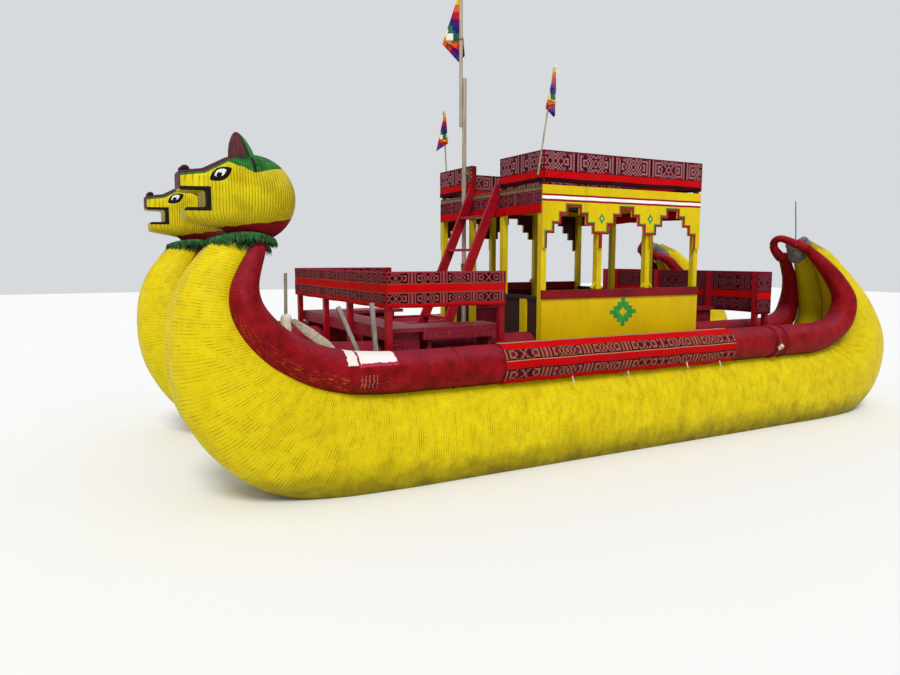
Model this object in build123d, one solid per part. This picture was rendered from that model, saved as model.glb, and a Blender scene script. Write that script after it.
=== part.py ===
# Reed boat: two hulls of bound totora reed with animal heads and curled sterns, joined by a timber deck that
# carries railed benches, a painted cabin with stepped arches, an upper deck, a ladder and a flag mast.
# Millimetres. X points forward to the heads, Y to port, Z up. The origin is on the waterline, on the centre
# plane, close to the middle of the boat's length.
from build123d import *
from math import cos, radians, sin
import os

os.makedirs("parts", exist_ok=True)

# Hulls
hull_centre = 1340            # from the boat's centre plane to the middle of a hull
roll_radius = 200             # gunwale roll amidships
outer_roll_offset = 400       # from the hull's middle to the outer roll
inner_roll_offset = 430       # from the hull's middle to the inner roll
roll_height = 1070            # middle of the rolls amidships, above the water
bundle_height = 400           # middle of the reed bundles amidships
bundle_half_depth = 600
bundle_half_width = 395
bundle_offset = 215
stern_waist = -2600           # where the straight middle of the hull ends
bow_waist = 2600
roll_waist = 2750             # where the straight middle of the rolls ends

# Deck
deck_top = 1000
board = 35                    # thickness of deck boards
joist_depth = 100
joist_width = 70
beam_depth = 120
beam_width = 100
roll_room = 12                # between the boards and the rolls
deck_front = 2990
deck_rear = -2490
deck_boards = 9
board_gap = 8
beam_half_span = 1500

# Rails, benches and posts
rail_post = 60
rail_half_width = 1480
rail_front = 2963
rail_side_end = 1637
rail_top = 1973
rail_band = 340               # height of the patterned band
panel = 15                    # patterned boards
rear_rail = -2455
rear_return = 270             # how far the rear rail turns forward at its ends
rear_rail_top = 1930
rear_rail_band = 540
bench_height = 430
bench_depth = 380
bench_board = 40
bench_apron = 85

# Cabin
cabin_front = 983
cabin_rear = -1419
cabin_half_width = 1200
sheet = 20                    # painted plywood
cabin_post = 70
sill_bottom = 1650
sill_depth = 100
sill_thickness = 35
arch_foot = 2216              # lower tips of the arcade
arch_edge = 25                # raised edging round the arches
arch_edge_thickness = 6
wall_top = 2900
roof_board = 30
roof_beam = 70
parapet_bottom = 2930
parapet_top = 3265
parapet_post = 50
door_half_width = 335
valance_top = 2840
valance_depth = 220
valance_thickness = 12
capital_radius = 210          # hollow of the brackets at the tops of the front posts
capital_thickness = 35

# Ladder, mast and flags
ladder_rail_depth = 110
ladder_rail_width = 45
ladder_run = 830              # how far its foot stands in front of its top
ladder_step = 400
mast_radius = 28
mast_top = 4350
topmast_radius = 22
topmast_foot = 3750
topmast_top = 5420
stick_radius = 9


def station(x, y, z, heading):
    """Plane across a bundle or roll that runs along heading, in degrees above the X axis."""
    return Plane(origin=(x, y, z), x_dir=(0, 1, 0), z_dir=(cos(radians(heading)), 0, sin(radians(heading))))


def slab(x0, x1, y0, y1, z0, z1):
    """Board or block between two corners."""
    return Pos((x0 + x1) / 2, (y0 + y1) / 2, (z0 + z1) / 2) * Box(abs(x1 - x0), abs(y1 - y0), abs(z1 - z0))


def both_sides(shape):
    """The shape and its mirror image across the boat's centre plane."""
    return [shape, mirror(shape, Plane.XZ)]


def rod(start, end, radius):
    """Round bar between two points."""
    axis = Vector(*end) - Vector(*start)
    return Solid.make_cylinder(radius, axis.length, Plane(origin=start, z_dir=axis))


def bar(start, end, width, depth):
    """Square timber between two points of one XZ plane, width along Y and depth across its length."""
    run = Vector(*end) - Vector(*start)
    across = Plane(origin=start, x_dir=(0, 1, 0), z_dir=run)
    return extrude(across * Rectangle(width, depth), run.length)


def save(name, *shapes):
    """Writes one node, of one or several solids."""
    solids = [s for shape in shapes for s in (shape if isinstance(shape, (list, tuple)) else [shape])]
    solids = [s for shape in solids for s in shape.solids()]
    node = solids[0] if len(solids) == 1 else Compound(children=solids)
    export_step(node, f"parts/{name}.step")


# Reed bundles
# Each hull is two bundles side by side, cut flat where they meet in the hull's middle plane. A bundle's
# sections run from the tip of the stern curl to the top of the neck:
# x, z, heading, half depth, half width, offset from the hull's middle
bundle_stern = [
    (-3190, 2300, 222, 70, 60, 75),
    (-3480, 2100, 226, 146, 115, 125),
    (-3740, 1805, 236, 230, 185, 160),
    (-4005, 1420, 252, 378, 265, 180),
    (-4105, 1000, 275, 605, 330, 195),
    (-3945, 660, 305, 670, 365, 210),
    (-3560, 470, 335, 640, 385, 214),
    (-3000, 406, 354, 606, bundle_half_width, bundle_offset),
    (stern_waist, bundle_height, 360, bundle_half_depth, bundle_half_width, bundle_offset),
]
bundle_bow = [
    (bow_waist, bundle_height, 360, bundle_half_depth, bundle_half_width, bundle_offset),
    (2950, 408, 364, 600, bundle_half_width, bundle_offset),
    (3450, 470, 376, 600, 390, 212),
    (3950, 680, 398, 610, 380, 205),
    (4270, 1050, 422, 580, 355, 190),
    (4430, 1500, 448, 440, 310, 150),
    (4450, 1880, 460, 290, 235, 95),
    (4275, 2230, 470, 185, 155, 60),
]

# A gunwale roll follows the bundles' top edges and rises with the neck and with the stern:
# x, z, heading, radius, offset of the outer roll, offset of the inner roll
roll_stern = [
    (-3010, 2285, 235, 60, 170, 170),
    (-3290, 2040, 222, 92, 265, 265),
    (-3490, 1825, 235, 122, 325, 325),
    (-3610, 1560, 262, 153, 395, 395),
    (-3510, 1280, 300, 175, 405, 405),
    (-3200, 1120, 335, 190, 402, 415),
    (-2950, 1078, 352, 198, outer_roll_offset, 425),
    (-roll_waist, roll_height, 360, roll_radius, outer_roll_offset, inner_roll_offset),
]
roll_bow = [
    (roll_waist, roll_height, 360, roll_radius, outer_roll_offset, inner_roll_offset),
    (3150, 1076, 363, roll_radius, outer_roll_offset, inner_roll_offset),
    (3580, 1130, 376, 198, 400, 415),
    (3990, 1305, 396, 182, 420, 420),
    (4250, 1580, 422, 154, 430, 430),
    (4300, 1850, 450, 120, 365, 365),
    (4140, 2190, 472, 78, 215, 215),
]


def spanned(stern, bow, outline):
    """A long form lofted in three spans: stern, straight middle and bow, with outline giving each section."""
    stern_sections = [outline(*row) for row in stern]
    bow_sections = [outline(*row) for row in bow]
    middle = Solid.make_loft([stern_sections[-1], bow_sections[0]], ruled=True)
    return middle.fuse(Solid.make_loft(stern_sections), Solid.make_loft(bow_sections))


def bundle_outline(x, z, heading, half_depth, half_width, offset):
    return (station(x, hull_centre + offset, z, heading) * Ellipse(half_width, half_depth)).wire()


def outer_roll_outline(x, z, heading, radius, outer, inner):
    return (station(x, hull_centre + outer, z, heading) * Circle(radius)).wire()


def inner_roll_outline(x, z, heading, radius, outer, inner):
    return (station(x, hull_centre - inner, z, heading) * Circle(radius)).wire()


outer_roll = spanned(roll_stern, roll_bow, outer_roll_outline)
inner_roll = spanned(roll_stern, roll_bow, inner_roll_outline)

# Cross beams run through the bundles under the rolls
joist_top = deck_top - board
beam_top = joist_top - joist_depth
beam_places = [2750, 1700, 650, -400, -1450, -2350]
beams = [slab(x - beam_width / 2, x + beam_width / 2, -beam_half_span, beam_half_span, beam_top - beam_depth, beam_top)
         for x in beam_places]

# Side decks lie in a seat between the two rolls of each hull
side_deck_inner = hull_centre - inner_roll_offset + roll_radius
side_deck_outer = hull_centre + outer_roll_offset - roll_radius - roll_room / 2
side_deck = slab(deck_rear, deck_front, side_deck_inner, side_deck_outer, deck_top - board, deck_top)
side_seat = slab(deck_rear, deck_front, side_deck_inner, side_deck_outer, deck_top - board, deck_top + 200)

reach = 6000
outboard = slab(-reach, reach, hull_centre, hull_centre + reach, -reach, reach)
bundle = spanned(bundle_stern, bundle_bow, bundle_outline) & outboard
outer_bundle = bundle - outer_roll - side_seat
inner_bundle = mirror(bundle, Plane.XZ.offset(-hull_centre)) - inner_roll - side_seat
for beam in beams:
    outer_bundle = outer_bundle - beam
    inner_bundle = inner_bundle - beam

for name, shape in (("bundle_outer", outer_bundle), ("bundle_inner", inner_bundle),
                    ("roll_outer", outer_roll), ("roll_inner", inner_roll)):
    port, starboard = both_sides(shape)
    save(f"{name}_port", port)
    save(f"{name}_starboard", starboard)

# Wrapped tips of the four bundles
tip_x, tip_z, tip_heading, tip_depth, tip_width, tip_offset = bundle_stern[0]
tip_length = 110
tips = []
for offset in (tip_offset, -tip_offset):
    foot = station(tip_x, hull_centre + offset, tip_z, tip_heading)
    end = station(tip_x - tip_length * cos(radians(tip_heading)), hull_centre + offset,
                  tip_z - tip_length * sin(radians(tip_heading)), tip_heading)
    tips.append(Solid.make_loft([(foot * Ellipse(tip_width, tip_depth)).wire(),
                                 (end * Ellipse(tip_width * 0.8, tip_depth * 0.8)).wire()]))
save("tip_wraps", *[both_sides(t) for t in tips])

# The ends of each hull's two rolls are joined over the tips by a loop
end_x, end_z, end_heading, end_radius, end_offset = roll_stern[0][:5]
rise = (-cos(radians(end_heading)), 0, -sin(radians(end_heading)))
loop_plane = Plane(origin=(end_x, hull_centre, end_z), x_dir=(0, 1, 0), z_dir=(-rise[2], 0, rise[0]))
loop_path = loop_plane * CenterArc((0, 0), end_offset, 0, 180)
loop = sweep(Plane(origin=(end_x, hull_centre + end_offset, end_z), z_dir=rise) * Circle(end_radius * 0.8), loop_path)
save("stern_loops", *both_sides(loop - outer_roll - inner_roll))

# Patterned cloth sleeves on the outer rolls
cover_front, cover_rear, cover_thickness = 1780, -1560, 4
cover = (Pos((cover_front + cover_rear) / 2, hull_centre + outer_roll_offset, roll_height) * Rot(0, 90, 0)
         * (Cylinder(roll_radius + cover_thickness, cover_front - cover_rear)
            - Cylinder(roll_radius, cover_front - cover_rear + 2)))
cover = cover - outer_bundle - side_seat
save("roll_covers", *both_sides(cover))

# Heads
# The skull is a ball. The face is lofted forward from it to the nose, and the mouth is cut open to the front.
skull_x, skull_z, skull_radius = 4140, 2605, 368
# x, bottom, top, half width, corner radius
face_sections = [(4200, 2300, 2930, 330, 200), (4370, 2345, 2925, 290, 150), (4560, 2378, 2826, 205, 80),
                 (4740, 2412, 2803, 150, 50)]
mouth_corner, mouth_bottom, mouth_top, chin_x = 4550, 2510, 2645, 4705
skull = Pos(skull_x, hull_centre, skull_z) * Rot(0, 0, 180) * Sphere(skull_radius)
face = Solid.make_loft([
    (Plane(origin=(x, hull_centre, (low + high) / 2), x_dir=(0, 1, 0), z_dir=(1, 0, 0))
     * RectangleRounded(2 * half, high - low, corner)).wire()
    for x, low, high, half, corner in face_sections], ruled=True)
face = face - slab(mouth_corner, mouth_corner + 500, hull_centre - 400, hull_centre + 400, mouth_bottom, mouth_top)
face = face - slab(chin_x, chin_x + 500, hull_centre - 400, hull_centre + 400, mouth_bottom - 400, mouth_bottom + 1)
head = skull + face
ear_foot_x, ear_foot_z, ear_tip_x, ear_tip_z, ear_offset = 4250, 2870, 4285, 3130, 150
ear_half_width, ear_half_depth, ear_spread = 125, 55, 30
ears = []
for side in (1, -1):
    foot = Plane(origin=(ear_foot_x, hull_centre + side * ear_offset, ear_foot_z), x_dir=(1, 0, 0), z_dir=(0, 0, 1))
    tip = Plane(origin=(ear_tip_x, hull_centre + side * (ear_offset + ear_spread), ear_tip_z), x_dir=(1, 0, 0), z_dir=(0, 0, 1))
    ears.append(Solid.make_loft([(foot * Ellipse(ear_half_width, ear_half_depth)).wire(), (tip * Ellipse(16, 10)).wire()]) - head)

# Fringed collar between neck and head
neck_x, neck_z = bundle_bow[-1][:2]
collar_radius, collar_height = 290, 90
collar = Pos(neck_x - 20, hull_centre, neck_z + collar_height / 2 - 15) * Cylinder(collar_radius, collar_height)
collar = collar - head - outer_bundle - inner_bundle - outer_roll - inner_roll
for side, piece in zip(("port", "starboard"), both_sides(head)):
    save(f"head_{side}", piece)
save("ears", *[both_sides(e) for e in ears])
save("collars", *both_sides(collar))

# Deck
save("cross_beams", *beams)
joists = [slab(deck_rear, deck_front, y - joist_width / 2, y + joist_width / 2, beam_top, joist_top)
          for y in (-600, -200, 200, 600)]
save("deck_joists", *joists)
deck_half_width = hull_centre - inner_roll_offset - roll_radius - roll_room
board_width = (2 * deck_half_width - (deck_boards - 1) * board_gap) / deck_boards
boards = []
for i in range(deck_boards):
    y = -deck_half_width + i * (board_width + board_gap)
    boards.append(slab(deck_rear, deck_front, y, y + board_width, joist_top, deck_top))
save("deck_boards", *boards)
save("side_decks", *both_sides(side_deck))

# Front rail
post_y = rail_half_width - panel - rail_post / 2
post_x = rail_front - panel - rail_post / 2
end_post_x = rail_side_end + rail_post / 2
middle_post_y = 400


def post(x, y, size, z0, z1):
    return slab(x - size / 2, x + size / 2, y - size / 2, y + size / 2, z0, z1)


front_posts = [post(x, y, rail_post, deck_top, rail_top)
               for x, y in ((post_x, post_y), (end_post_x, post_y), (post_x, middle_post_y))]
save("front_rail_posts", *[both_sides(p) for p in front_posts])
band_bottom = rail_top - rail_band
bow_panel = slab(rail_front - panel, rail_front, -rail_half_width, rail_half_width, band_bottom, rail_top)
side_panel = slab(rail_side_end, rail_front - panel, rail_half_width - panel, rail_half_width, band_bottom, rail_top)
save("rail_panel_bow", bow_panel)
save("rail_panels_side", *both_sides(side_panel))

# Benches around the front rail
bench_top = deck_top + bench_height
bench_under = bench_top - bench_board
bench_outer = rail_half_width - panel - rail_post
bow_bench_front = post_x - rail_post / 2
bow_bench_rear = bow_bench_front - bench_depth
bench_leg = 40


def bench(x0, x1, y0, y1, apron, legs):
    """A seat board on legs, with aprons, as one joined piece."""
    piece = slab(x0, x1, y0, y1, bench_under, bench_top)
    for box in apron + legs:
        piece = piece + slab(*box)
    return piece


apron_bottom = bench_under - bench_apron
side_legs = [(x, x + bench_leg, side_deck_inner + roll_room, bench_outer - bench_leg, deck_top, bench_under)
             for x in (end_post_x + rail_post, bow_bench_rear - 2 * bench_leg)]
side_bench = bench(rail_side_end, bow_bench_rear, bench_outer - bench_depth, bench_outer,
                   [(rail_side_end, bow_bench_rear, bench_outer - 25, bench_outer, apron_bottom, bench_under)],
                   side_legs)
bow_legs = [(bow_bench_rear + bench_leg, bow_bench_front - bench_leg, y, y + bench_leg, deck_top, bench_under)
            for y in (-bench_outer + 60, -600, 600 - bench_leg, bench_outer - 60 - bench_leg)]
bow_bench = bench(bow_bench_rear, bow_bench_front, -bench_outer, bench_outer,
                  [(x, x + 25, -bench_outer, bench_outer, apron_bottom, bench_under)
                   for x in (bow_bench_rear, bow_bench_front - 25)],
                  bow_legs)
save("benches_side", *both_sides(side_bench))
save("bench_bow", bow_bench)

# Rear rail and bench
rear_post_x = rear_rail + panel + rail_post / 2
return_end = rear_rail + rear_return
rear_posts = [post(x, y, rail_post, deck_top, rear_rail_top)
              for x, y in ((rear_post_x, post_y), (return_end - rail_post / 2, post_y), (rear_post_x, 500))]
save("rear_rail_posts", *[both_sides(p) for p in rear_posts])
rear_bottom = rear_rail_top - rear_rail_band
rear_panel = slab(rear_rail, rear_rail + panel, -rail_half_width, rail_half_width, rear_bottom, rear_rail_top)
returns = slab(rear_rail + panel, return_end, rail_half_width - panel, rail_half_width, rear_bottom, rear_rail_top)
for piece in both_sides(returns):
    rear_panel = rear_panel + piece
save("rail_panel_rear", rear_panel)
rear_bench_x = rear_post_x + rail_post / 2
rear_bench = bench(rear_bench_x, rear_bench_x + bench_depth, -640, 640,
                   [(rear_bench_x + bench_depth - 25, rear_bench_x + bench_depth, -640, 640, apron_bottom, bench_under)],
                   [(rear_bench_x + bench_leg, rear_bench_x + bench_depth - bench_leg, y, y + bench_leg, deck_top, bench_under)
                    for y in (-600, 560)])
save("bench_rear", rear_bench)

# Cabin posts and plates
wall_inner = cabin_half_width - sheet
cabin_post_y = wall_inner - cabin_post / 2
plate_bottom = wall_top - roof_board - 2 * roof_beam
post_places = [cabin_front - cabin_post / 2, 165, -580, cabin_rear + cabin_post / 2]
door_post_y = door_half_width + cabin_post / 2
side_posts = [post(x, cabin_post_y, cabin_post, deck_top, plate_bottom) for x in post_places]
door_posts = [post(x, door_post_y, cabin_post, deck_top, plate_bottom) for x in (post_places[0], post_places[-1])]
save("cabin_posts", *[both_sides(p) for p in side_posts + door_posts])
plates = [both_sides(slab(cabin_rear, cabin_front, wall_inner - cabin_post, wall_inner, plate_bottom, plate_bottom + roof_beam))]
ties = [slab(x - cabin_post / 2, x + cabin_post / 2, -wall_inner + cabin_post, wall_inner - cabin_post,
             plate_bottom, plate_bottom + roof_beam) for x in (post_places[0], post_places[-1])]
save("roof_plates", *plates, *ties)
roof_beams = [slab(x - cabin_post / 2, x + cabin_post / 2, -wall_inner, wall_inner, plate_bottom + roof_beam,
                   plate_bottom + 2 * roof_beam) for x in (post_places[0], 565, 165, -210, -580, -980, post_places[-1])]
save("roof_beams", *roof_beams)

# Cabin walls: a plain lower wall under a sill, and an arcade of three stepped arches above
lower_wall = slab(cabin_rear, cabin_front, wall_inner, cabin_half_width, deck_top, sill_bottom)
sill = slab(cabin_rear, cabin_front, wall_inner, wall_inner + sill_thickness, sill_bottom, sill_bottom + sill_depth)
# half width of the arch at each step, and the height where that step ends
arch_steps = [(365, 2376), (268, 2477), (174, 2585), (80, 2673)]
arch_centres = [560, -215, -950]
arcade = slab(cabin_rear, cabin_front, wall_inner, cabin_half_width, arch_foot, wall_top)
for centre in arch_centres:
    for half, top in arch_steps:
        arcade = arcade - slab(centre - half, centre + half, wall_inner - 1, cabin_half_width + 1, arch_foot - 1, top)
for side, piece in zip(("port", "starboard"), both_sides(arcade)):
    save(f"arcade_{side}", piece)
edge_outer = cabin_half_width + arch_edge_thickness
edging = []
for centre in arch_centres:
    for half, top in arch_steps:
        edging.append(slab(centre - half - arch_edge, centre + half + arch_edge, cabin_half_width, edge_outer,
                           arch_foot, top + arch_edge))
edging = edging[0].fuse(*edging[1:]) & slab(cabin_rear, cabin_front, cabin_half_width, edge_outer, arch_foot, wall_top)
for centre in arch_centres:
    for half, top in arch_steps:
        edging = edging - slab(centre - half, centre + half, wall_inner, edge_outer + 1, arch_foot - 1, top)
save("arch_edgings", *both_sides(edging))
save("lower_walls", *both_sides(lower_wall))
save("sills", *both_sides(sill))

# Cross walls at the front and rear of the cabin, each with a doorway
cross_top = 1640
cross_inner = door_post_y + cabin_post / 2
cross_outer = wall_inner - cabin_post
cross_walls = []
under_roll = inner_roll + side_deck
under_roll = under_roll + slab(cabin_rear, cabin_front, hull_centre - inner_roll_offset, cross_outer, deck_top, roll_height)
for x in (cabin_front - 45, cabin_rear + 25):
    wall = slab(x, x + sheet, cross_inner, cross_outer, deck_top, cross_top) - under_roll
    cap = slab(x - 15, x + sheet + 15, cross_inner, cross_outer, cross_top, cross_top + 40)
    cross_walls += both_sides(wall + cap)
save("cross_walls", *cross_walls)
upright_inner, upright_outer = 770, 890
upright = slab(cabin_front - 45 + sheet, cabin_front, upright_inner, upright_outer, deck_top, cross_top) - under_roll
save("cross_uprights", *both_sides(upright))

# Brackets with a hollow front at the tops of the front posts
capital_bottom = plate_bottom - capital_radius
capitals = []
for face, way in ((door_half_width, -1), (cross_inner, 1), (cross_outer, -1)):
    end = face + way * capital_radius
    block = slab(post_places[0] - capital_thickness / 2, post_places[0] + capital_thickness / 2, face, end,
                 capital_bottom, plate_bottom)
    capitals.append(block - rod((post_places[0] - capital_thickness, end, capital_bottom),
                                (post_places[0] + capital_thickness, end, capital_bottom), capital_radius))
save("post_capitals", *[both_sides(c) for c in capitals])

# Seats inside the cabin, over the inner rolls
seat_front, seat_rear = cabin_front - cabin_post - 60, cabin_rear + cabin_post + 60
seat_inner = deck_half_width - 30
seat = slab(seat_rear, seat_front, seat_inner, cross_outer, bench_under, bench_top)
seat = seat + slab(seat_rear, seat_front, seat_inner, seat_inner + 20, deck_top, bench_under)
save("cabin_seats", *both_sides(seat))

# Valances, parapet and upper deck
valance_half = cabin_half_width - sheet
valances = [slab(x, x + valance_thickness, -valance_half, valance_half, valance_top - valance_depth, valance_top)
            for x in (cabin_front, cabin_rear - valance_thickness)]
save("valances", *valances)

rim_post_y = wall_inner - parapet_post / 2
rim_front_x = cabin_front - panel - parapet_post / 2
rim_rear_x = cabin_rear + panel + parapet_post / 2
rim_posts = [post(x, y, parapet_post, wall_top - roof_board, parapet_top)
             for x, y in ((rim_front_x, rim_post_y), (-218, rim_post_y), (rim_rear_x, rim_post_y),
                          (rim_front_x, door_half_width + parapet_post / 2))]
rim_posts = [p for side_post in rim_posts for p in both_sides(side_post)]
rim_posts.append(post(rim_rear_x, 0, parapet_post, wall_top - roof_board, parapet_top))
save("parapet_posts", *rim_posts)
roof = slab(cabin_rear, cabin_front, -wall_inner, wall_inner, wall_top - roof_board, wall_top)
for rim_post in rim_posts:
    roof = roof - rim_post
save("roof_boards", roof)
side_rim = slab(cabin_rear + panel, cabin_front - panel, wall_inner, cabin_half_width, parapet_bottom, parapet_top)
front_rim = slab(cabin_front - panel, cabin_front, door_half_width, cabin_half_width, parapet_bottom, parapet_top)
save("parapet_sides", *both_sides(side_rim))
save("parapet_front", *both_sides(front_rim))
save("parapet_rear", slab(cabin_rear, cabin_rear + panel, -cabin_half_width, cabin_half_width, parapet_bottom, parapet_top))

# Ladder: two rails that lean on the edge of the upper deck, with flat treads
ladder_y = door_half_width - ladder_rail_width / 2
lean = Vector(ladder_run, 0, deck_top - wall_top).normalized()
ladder_head = Vector(cabin_front + 25, 0, wall_top)
ladder_foot = ladder_head + lean * ((wall_top - deck_top) / abs(lean.Z))
rails = []
for y in (ladder_y, -ladder_y):
    rails.append(bar(tuple(ladder_foot + lean * 200 + Vector(0, y, 0)),
                     tuple(ladder_head - lean * 60 + Vector(0, y, 0)), ladder_rail_width, ladder_rail_depth))
deck_cut = slab(-reach, reach, -reach, reach, deck_top - 500, deck_top)
cabin_cut = slab(-reach, cabin_front + valance_thickness, -reach, reach, deck_top, reach)
ladder = [r - deck_cut - cabin_cut for r in rails]
treads = []
for i in range(4):
    z = deck_top + (i + 1) * ladder_step
    x = ladder_foot.X + (ladder_head.X - ladder_foot.X) * (z - deck_top) / (wall_top - deck_top)
    treads.append(slab(x - 45, x + 45, -ladder_y + ladder_rail_width / 2, ladder_y - ladder_rail_width / 2, z - 15, z + 15))
ladder_whole = ladder[0] + ladder[1]
for tread in treads:
    ladder_whole = ladder_whole + tread
save("ladder", ladder_whole)

# Mast in two poles, held to the front of the cabin by blocks
mast_x, mast_y = 1045, -430
save("mast_lower", rod((mast_x, mast_y, deck_top), (mast_x, mast_y, mast_top), mast_radius))
topmast_x = mast_x + mast_radius + topmast_radius
topmast = rod((topmast_x, mast_y, topmast_foot), (topmast_x, mast_y, topmast_top), topmast_radius)
save("mast_upper", topmast)
blocks = []
for z in (plate_bottom + roof_beam / 2 - 60, parapet_top - 80):
    blocks.append(slab(cabin_front, mast_x, mast_y - 30, mast_y + 30, z - 30, z + 30)
                  - rod((mast_x, mast_y, z - 40), (mast_x, mast_y, z + 40), mast_radius))
save("mast_blocks", *[b - valances[0] for b in blocks])

# Flags: the large one on the topmast, two small ones on leaning sticks at the front corners of the upper deck
flag_thickness = 14


def banner(points, z0, z1):
    """A flag as a folded strip: its plan is a zigzag with rounded folds, drawn out to its height."""
    path = FilletPolyline(*points, radius=12)
    strip = Plane.XY.offset(z0) * trace(path, flag_thickness)
    return extrude(strip, z1 - z0)


large_flag = [(985, mast_y + 15), (1040, mast_y + 50), (1115, mast_y + 30), (1180, mast_y - 45), (1255, mast_y + 45),
              (1330, mast_y - 35), (1400, mast_y + 30)]
save("flag_large", banner(large_flag, 4430, 5330) - topmast)
port_stick_y, starboard_stick_y = 1165, -wall_inner + 6
port_stick = rod((1030, port_stick_y, 3000), (838, port_stick_y, 4144), stick_radius)
starboard_stick = rod((884, starboard_stick_y, 2940), (951, starboard_stick_y, 4085), stick_radius)
save("flag_sticks", port_stick - front_rim, starboard_stick - mirror(side_rim, Plane.XZ))
port_flag = [(826, port_stick_y + 14), (862, port_stick_y + 34), (905, port_stick_y + 12), (938, port_stick_y + 38),
             (968, port_stick_y + 14)]
starboard_flag = [(912, starboard_stick_y + 14), (955, starboard_stick_y + 12), (990, starboard_stick_y + 42),
                  (1025, starboard_stick_y + 8), (1058, starboard_stick_y + 34)]
save("flag_small_port", banner(port_flag, 3590, 4140) - port_stick)
save("flag_small_starboard", banner(starboard_flag, 3540, 4080) - starboard_stick)

# Stakes at the rolls, a paddle laid on the port hull and the rod on its stern
stake, stake_y = 36, 1506
stakes = [bar((3150, stake_y, deck_top), (3440, stake_y, 1665), stake, stake),
          bar((3060, stake_y, deck_top), (3115, stake_y, 1690), stake, stake),
          bar((3100, -stake_y, deck_top), (3085, -stake_y, 1910), stake, stake)]
bundles_and_rolls = both_sides(outer_bundle) + both_sides(outer_roll)
for piece in bundles_and_rolls + both_sides(side_deck):
    stakes = [s - piece for s in stakes]
save("stakes", *stakes)
paddle_y = hull_centre - inner_roll_offset
paddle_end, paddle_neck, paddle_grip = (3860, paddle_y, 1500), (3500, paddle_y, 1420), (2900, paddle_y, 1292)
save("paddle", bar(paddle_neck, paddle_end, 130, 22) + rod(paddle_grip, paddle_neck, 17))
stern_rod = rod((-3150, hull_centre - 60, 2380), (-3090, hull_centre - 60, 2870), 7)
for tip in tips:
    stern_rod = stern_rod - tip
save("stern_rod", stern_rod)
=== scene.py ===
import functools
import math
import random

import bpy
import numpy as np
from mathutils import Matrix, Vector


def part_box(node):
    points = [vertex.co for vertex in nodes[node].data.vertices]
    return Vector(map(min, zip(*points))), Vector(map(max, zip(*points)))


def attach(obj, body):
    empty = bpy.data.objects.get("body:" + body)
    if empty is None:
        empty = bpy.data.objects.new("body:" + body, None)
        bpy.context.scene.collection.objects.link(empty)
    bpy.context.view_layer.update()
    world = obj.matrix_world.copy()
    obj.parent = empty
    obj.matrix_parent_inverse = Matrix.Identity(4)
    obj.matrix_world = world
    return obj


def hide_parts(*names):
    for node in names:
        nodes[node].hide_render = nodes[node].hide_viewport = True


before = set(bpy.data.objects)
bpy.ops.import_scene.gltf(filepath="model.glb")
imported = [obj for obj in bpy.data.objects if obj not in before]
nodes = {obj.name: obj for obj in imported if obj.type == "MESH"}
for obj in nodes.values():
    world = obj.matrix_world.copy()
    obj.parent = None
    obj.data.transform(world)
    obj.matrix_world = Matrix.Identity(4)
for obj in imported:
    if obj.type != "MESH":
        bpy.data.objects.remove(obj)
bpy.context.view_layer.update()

scene = bpy.context.scene

# Sizes in metres, in the boat's frame: X forward, Y to port, Z up from the waterline

SIDES = {1: "port", -1: "starboard"}
LOBES = {1: "outer", -1: "inner"}       # the two bundles and rolls of a hull
HULL_CENTRE = 1.34          # middle of a hull, from the boat's centre plane
BUNDLE_LENGTH = 11.9        # along its middle, with its curls
BINDING = 0.024             # from one binding cord of the hull to the next
WINDING = 0.022             # from one turn of a roll's cord to the next
ROLL_RADIUS = 0.200         # gunwale roll amidships
ROLL_Y, ROLL_Z = HULL_CENTRE + 0.400, 1.070     # middle of the outer roll amidships
DECK_LOW, DECK_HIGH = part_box("deck_boards")
SIDE_DECK_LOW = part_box("side_decks")[0]
SEAT_INNER, SEAT_OUTER = 1.110, 1.534           # the side deck's two edges
COLLAR_X = 4.235            # middle of the neck at the collar
SLEEVE_REAR, SLEEVE_FRONT = -1.285, 1.915
CLOTH = 0.0016              # thickness of cloth
BOARD, SHEET = 0.015, 0.020     # thickness of the rails' and parapet's boards, and of the parapet's sides
GATE = 0.335                # half the gap in the parapet at the ladder's head
CABIN_SIDE = 1.200          # outer face of the cabin's painted walls
BAYS = (0.56, -0.215, -0.95)    # middles of the cabin's arches
LARGE_FLAG, SMALL_FLAG = 0.60, 0.42     # sides of the square flags
FIELDS = 7                  # fields along a flag's side, and its colours

# The hull's reed bundles, from the tip of the stern curl to the top of the neck, as in the part's source:
# x, z, heading in degrees above X, half depth, half width, offset from the hull's middle
BUNDLE_STERN = [
    (-3.190, 2.300, 222, 0.070, 0.060, 0.075), (-3.480, 2.100, 226, 0.146, 0.115, 0.125),
    (-3.740, 1.805, 236, 0.230, 0.185, 0.160), (-4.005, 1.420, 252, 0.378, 0.265, 0.180),
    (-4.105, 1.000, 275, 0.605, 0.330, 0.195), (-3.945, 0.660, 305, 0.670, 0.365, 0.210),
    (-3.560, 0.470, 335, 0.640, 0.385, 0.214), (-3.000, 0.406, 354, 0.606, 0.395, 0.215),
    (-2.600, 0.400, 360, 0.600, 0.395, 0.215)]
BUNDLE_BOW = [
    (2.600, 0.400, 360, 0.600, 0.395, 0.215), (2.950, 0.408, 364, 0.600, 0.395, 0.215),
    (3.450, 0.470, 376, 0.600, 0.390, 0.212), (3.950, 0.680, 398, 0.610, 0.380, 0.205),
    (4.270, 1.050, 422, 0.580, 0.355, 0.190), (4.430, 1.500, 448, 0.440, 0.310, 0.150),
    (4.450, 1.880, 460, 0.290, 0.235, 0.095), (4.275, 2.230, 470, 0.185, 0.155, 0.060)]
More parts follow.
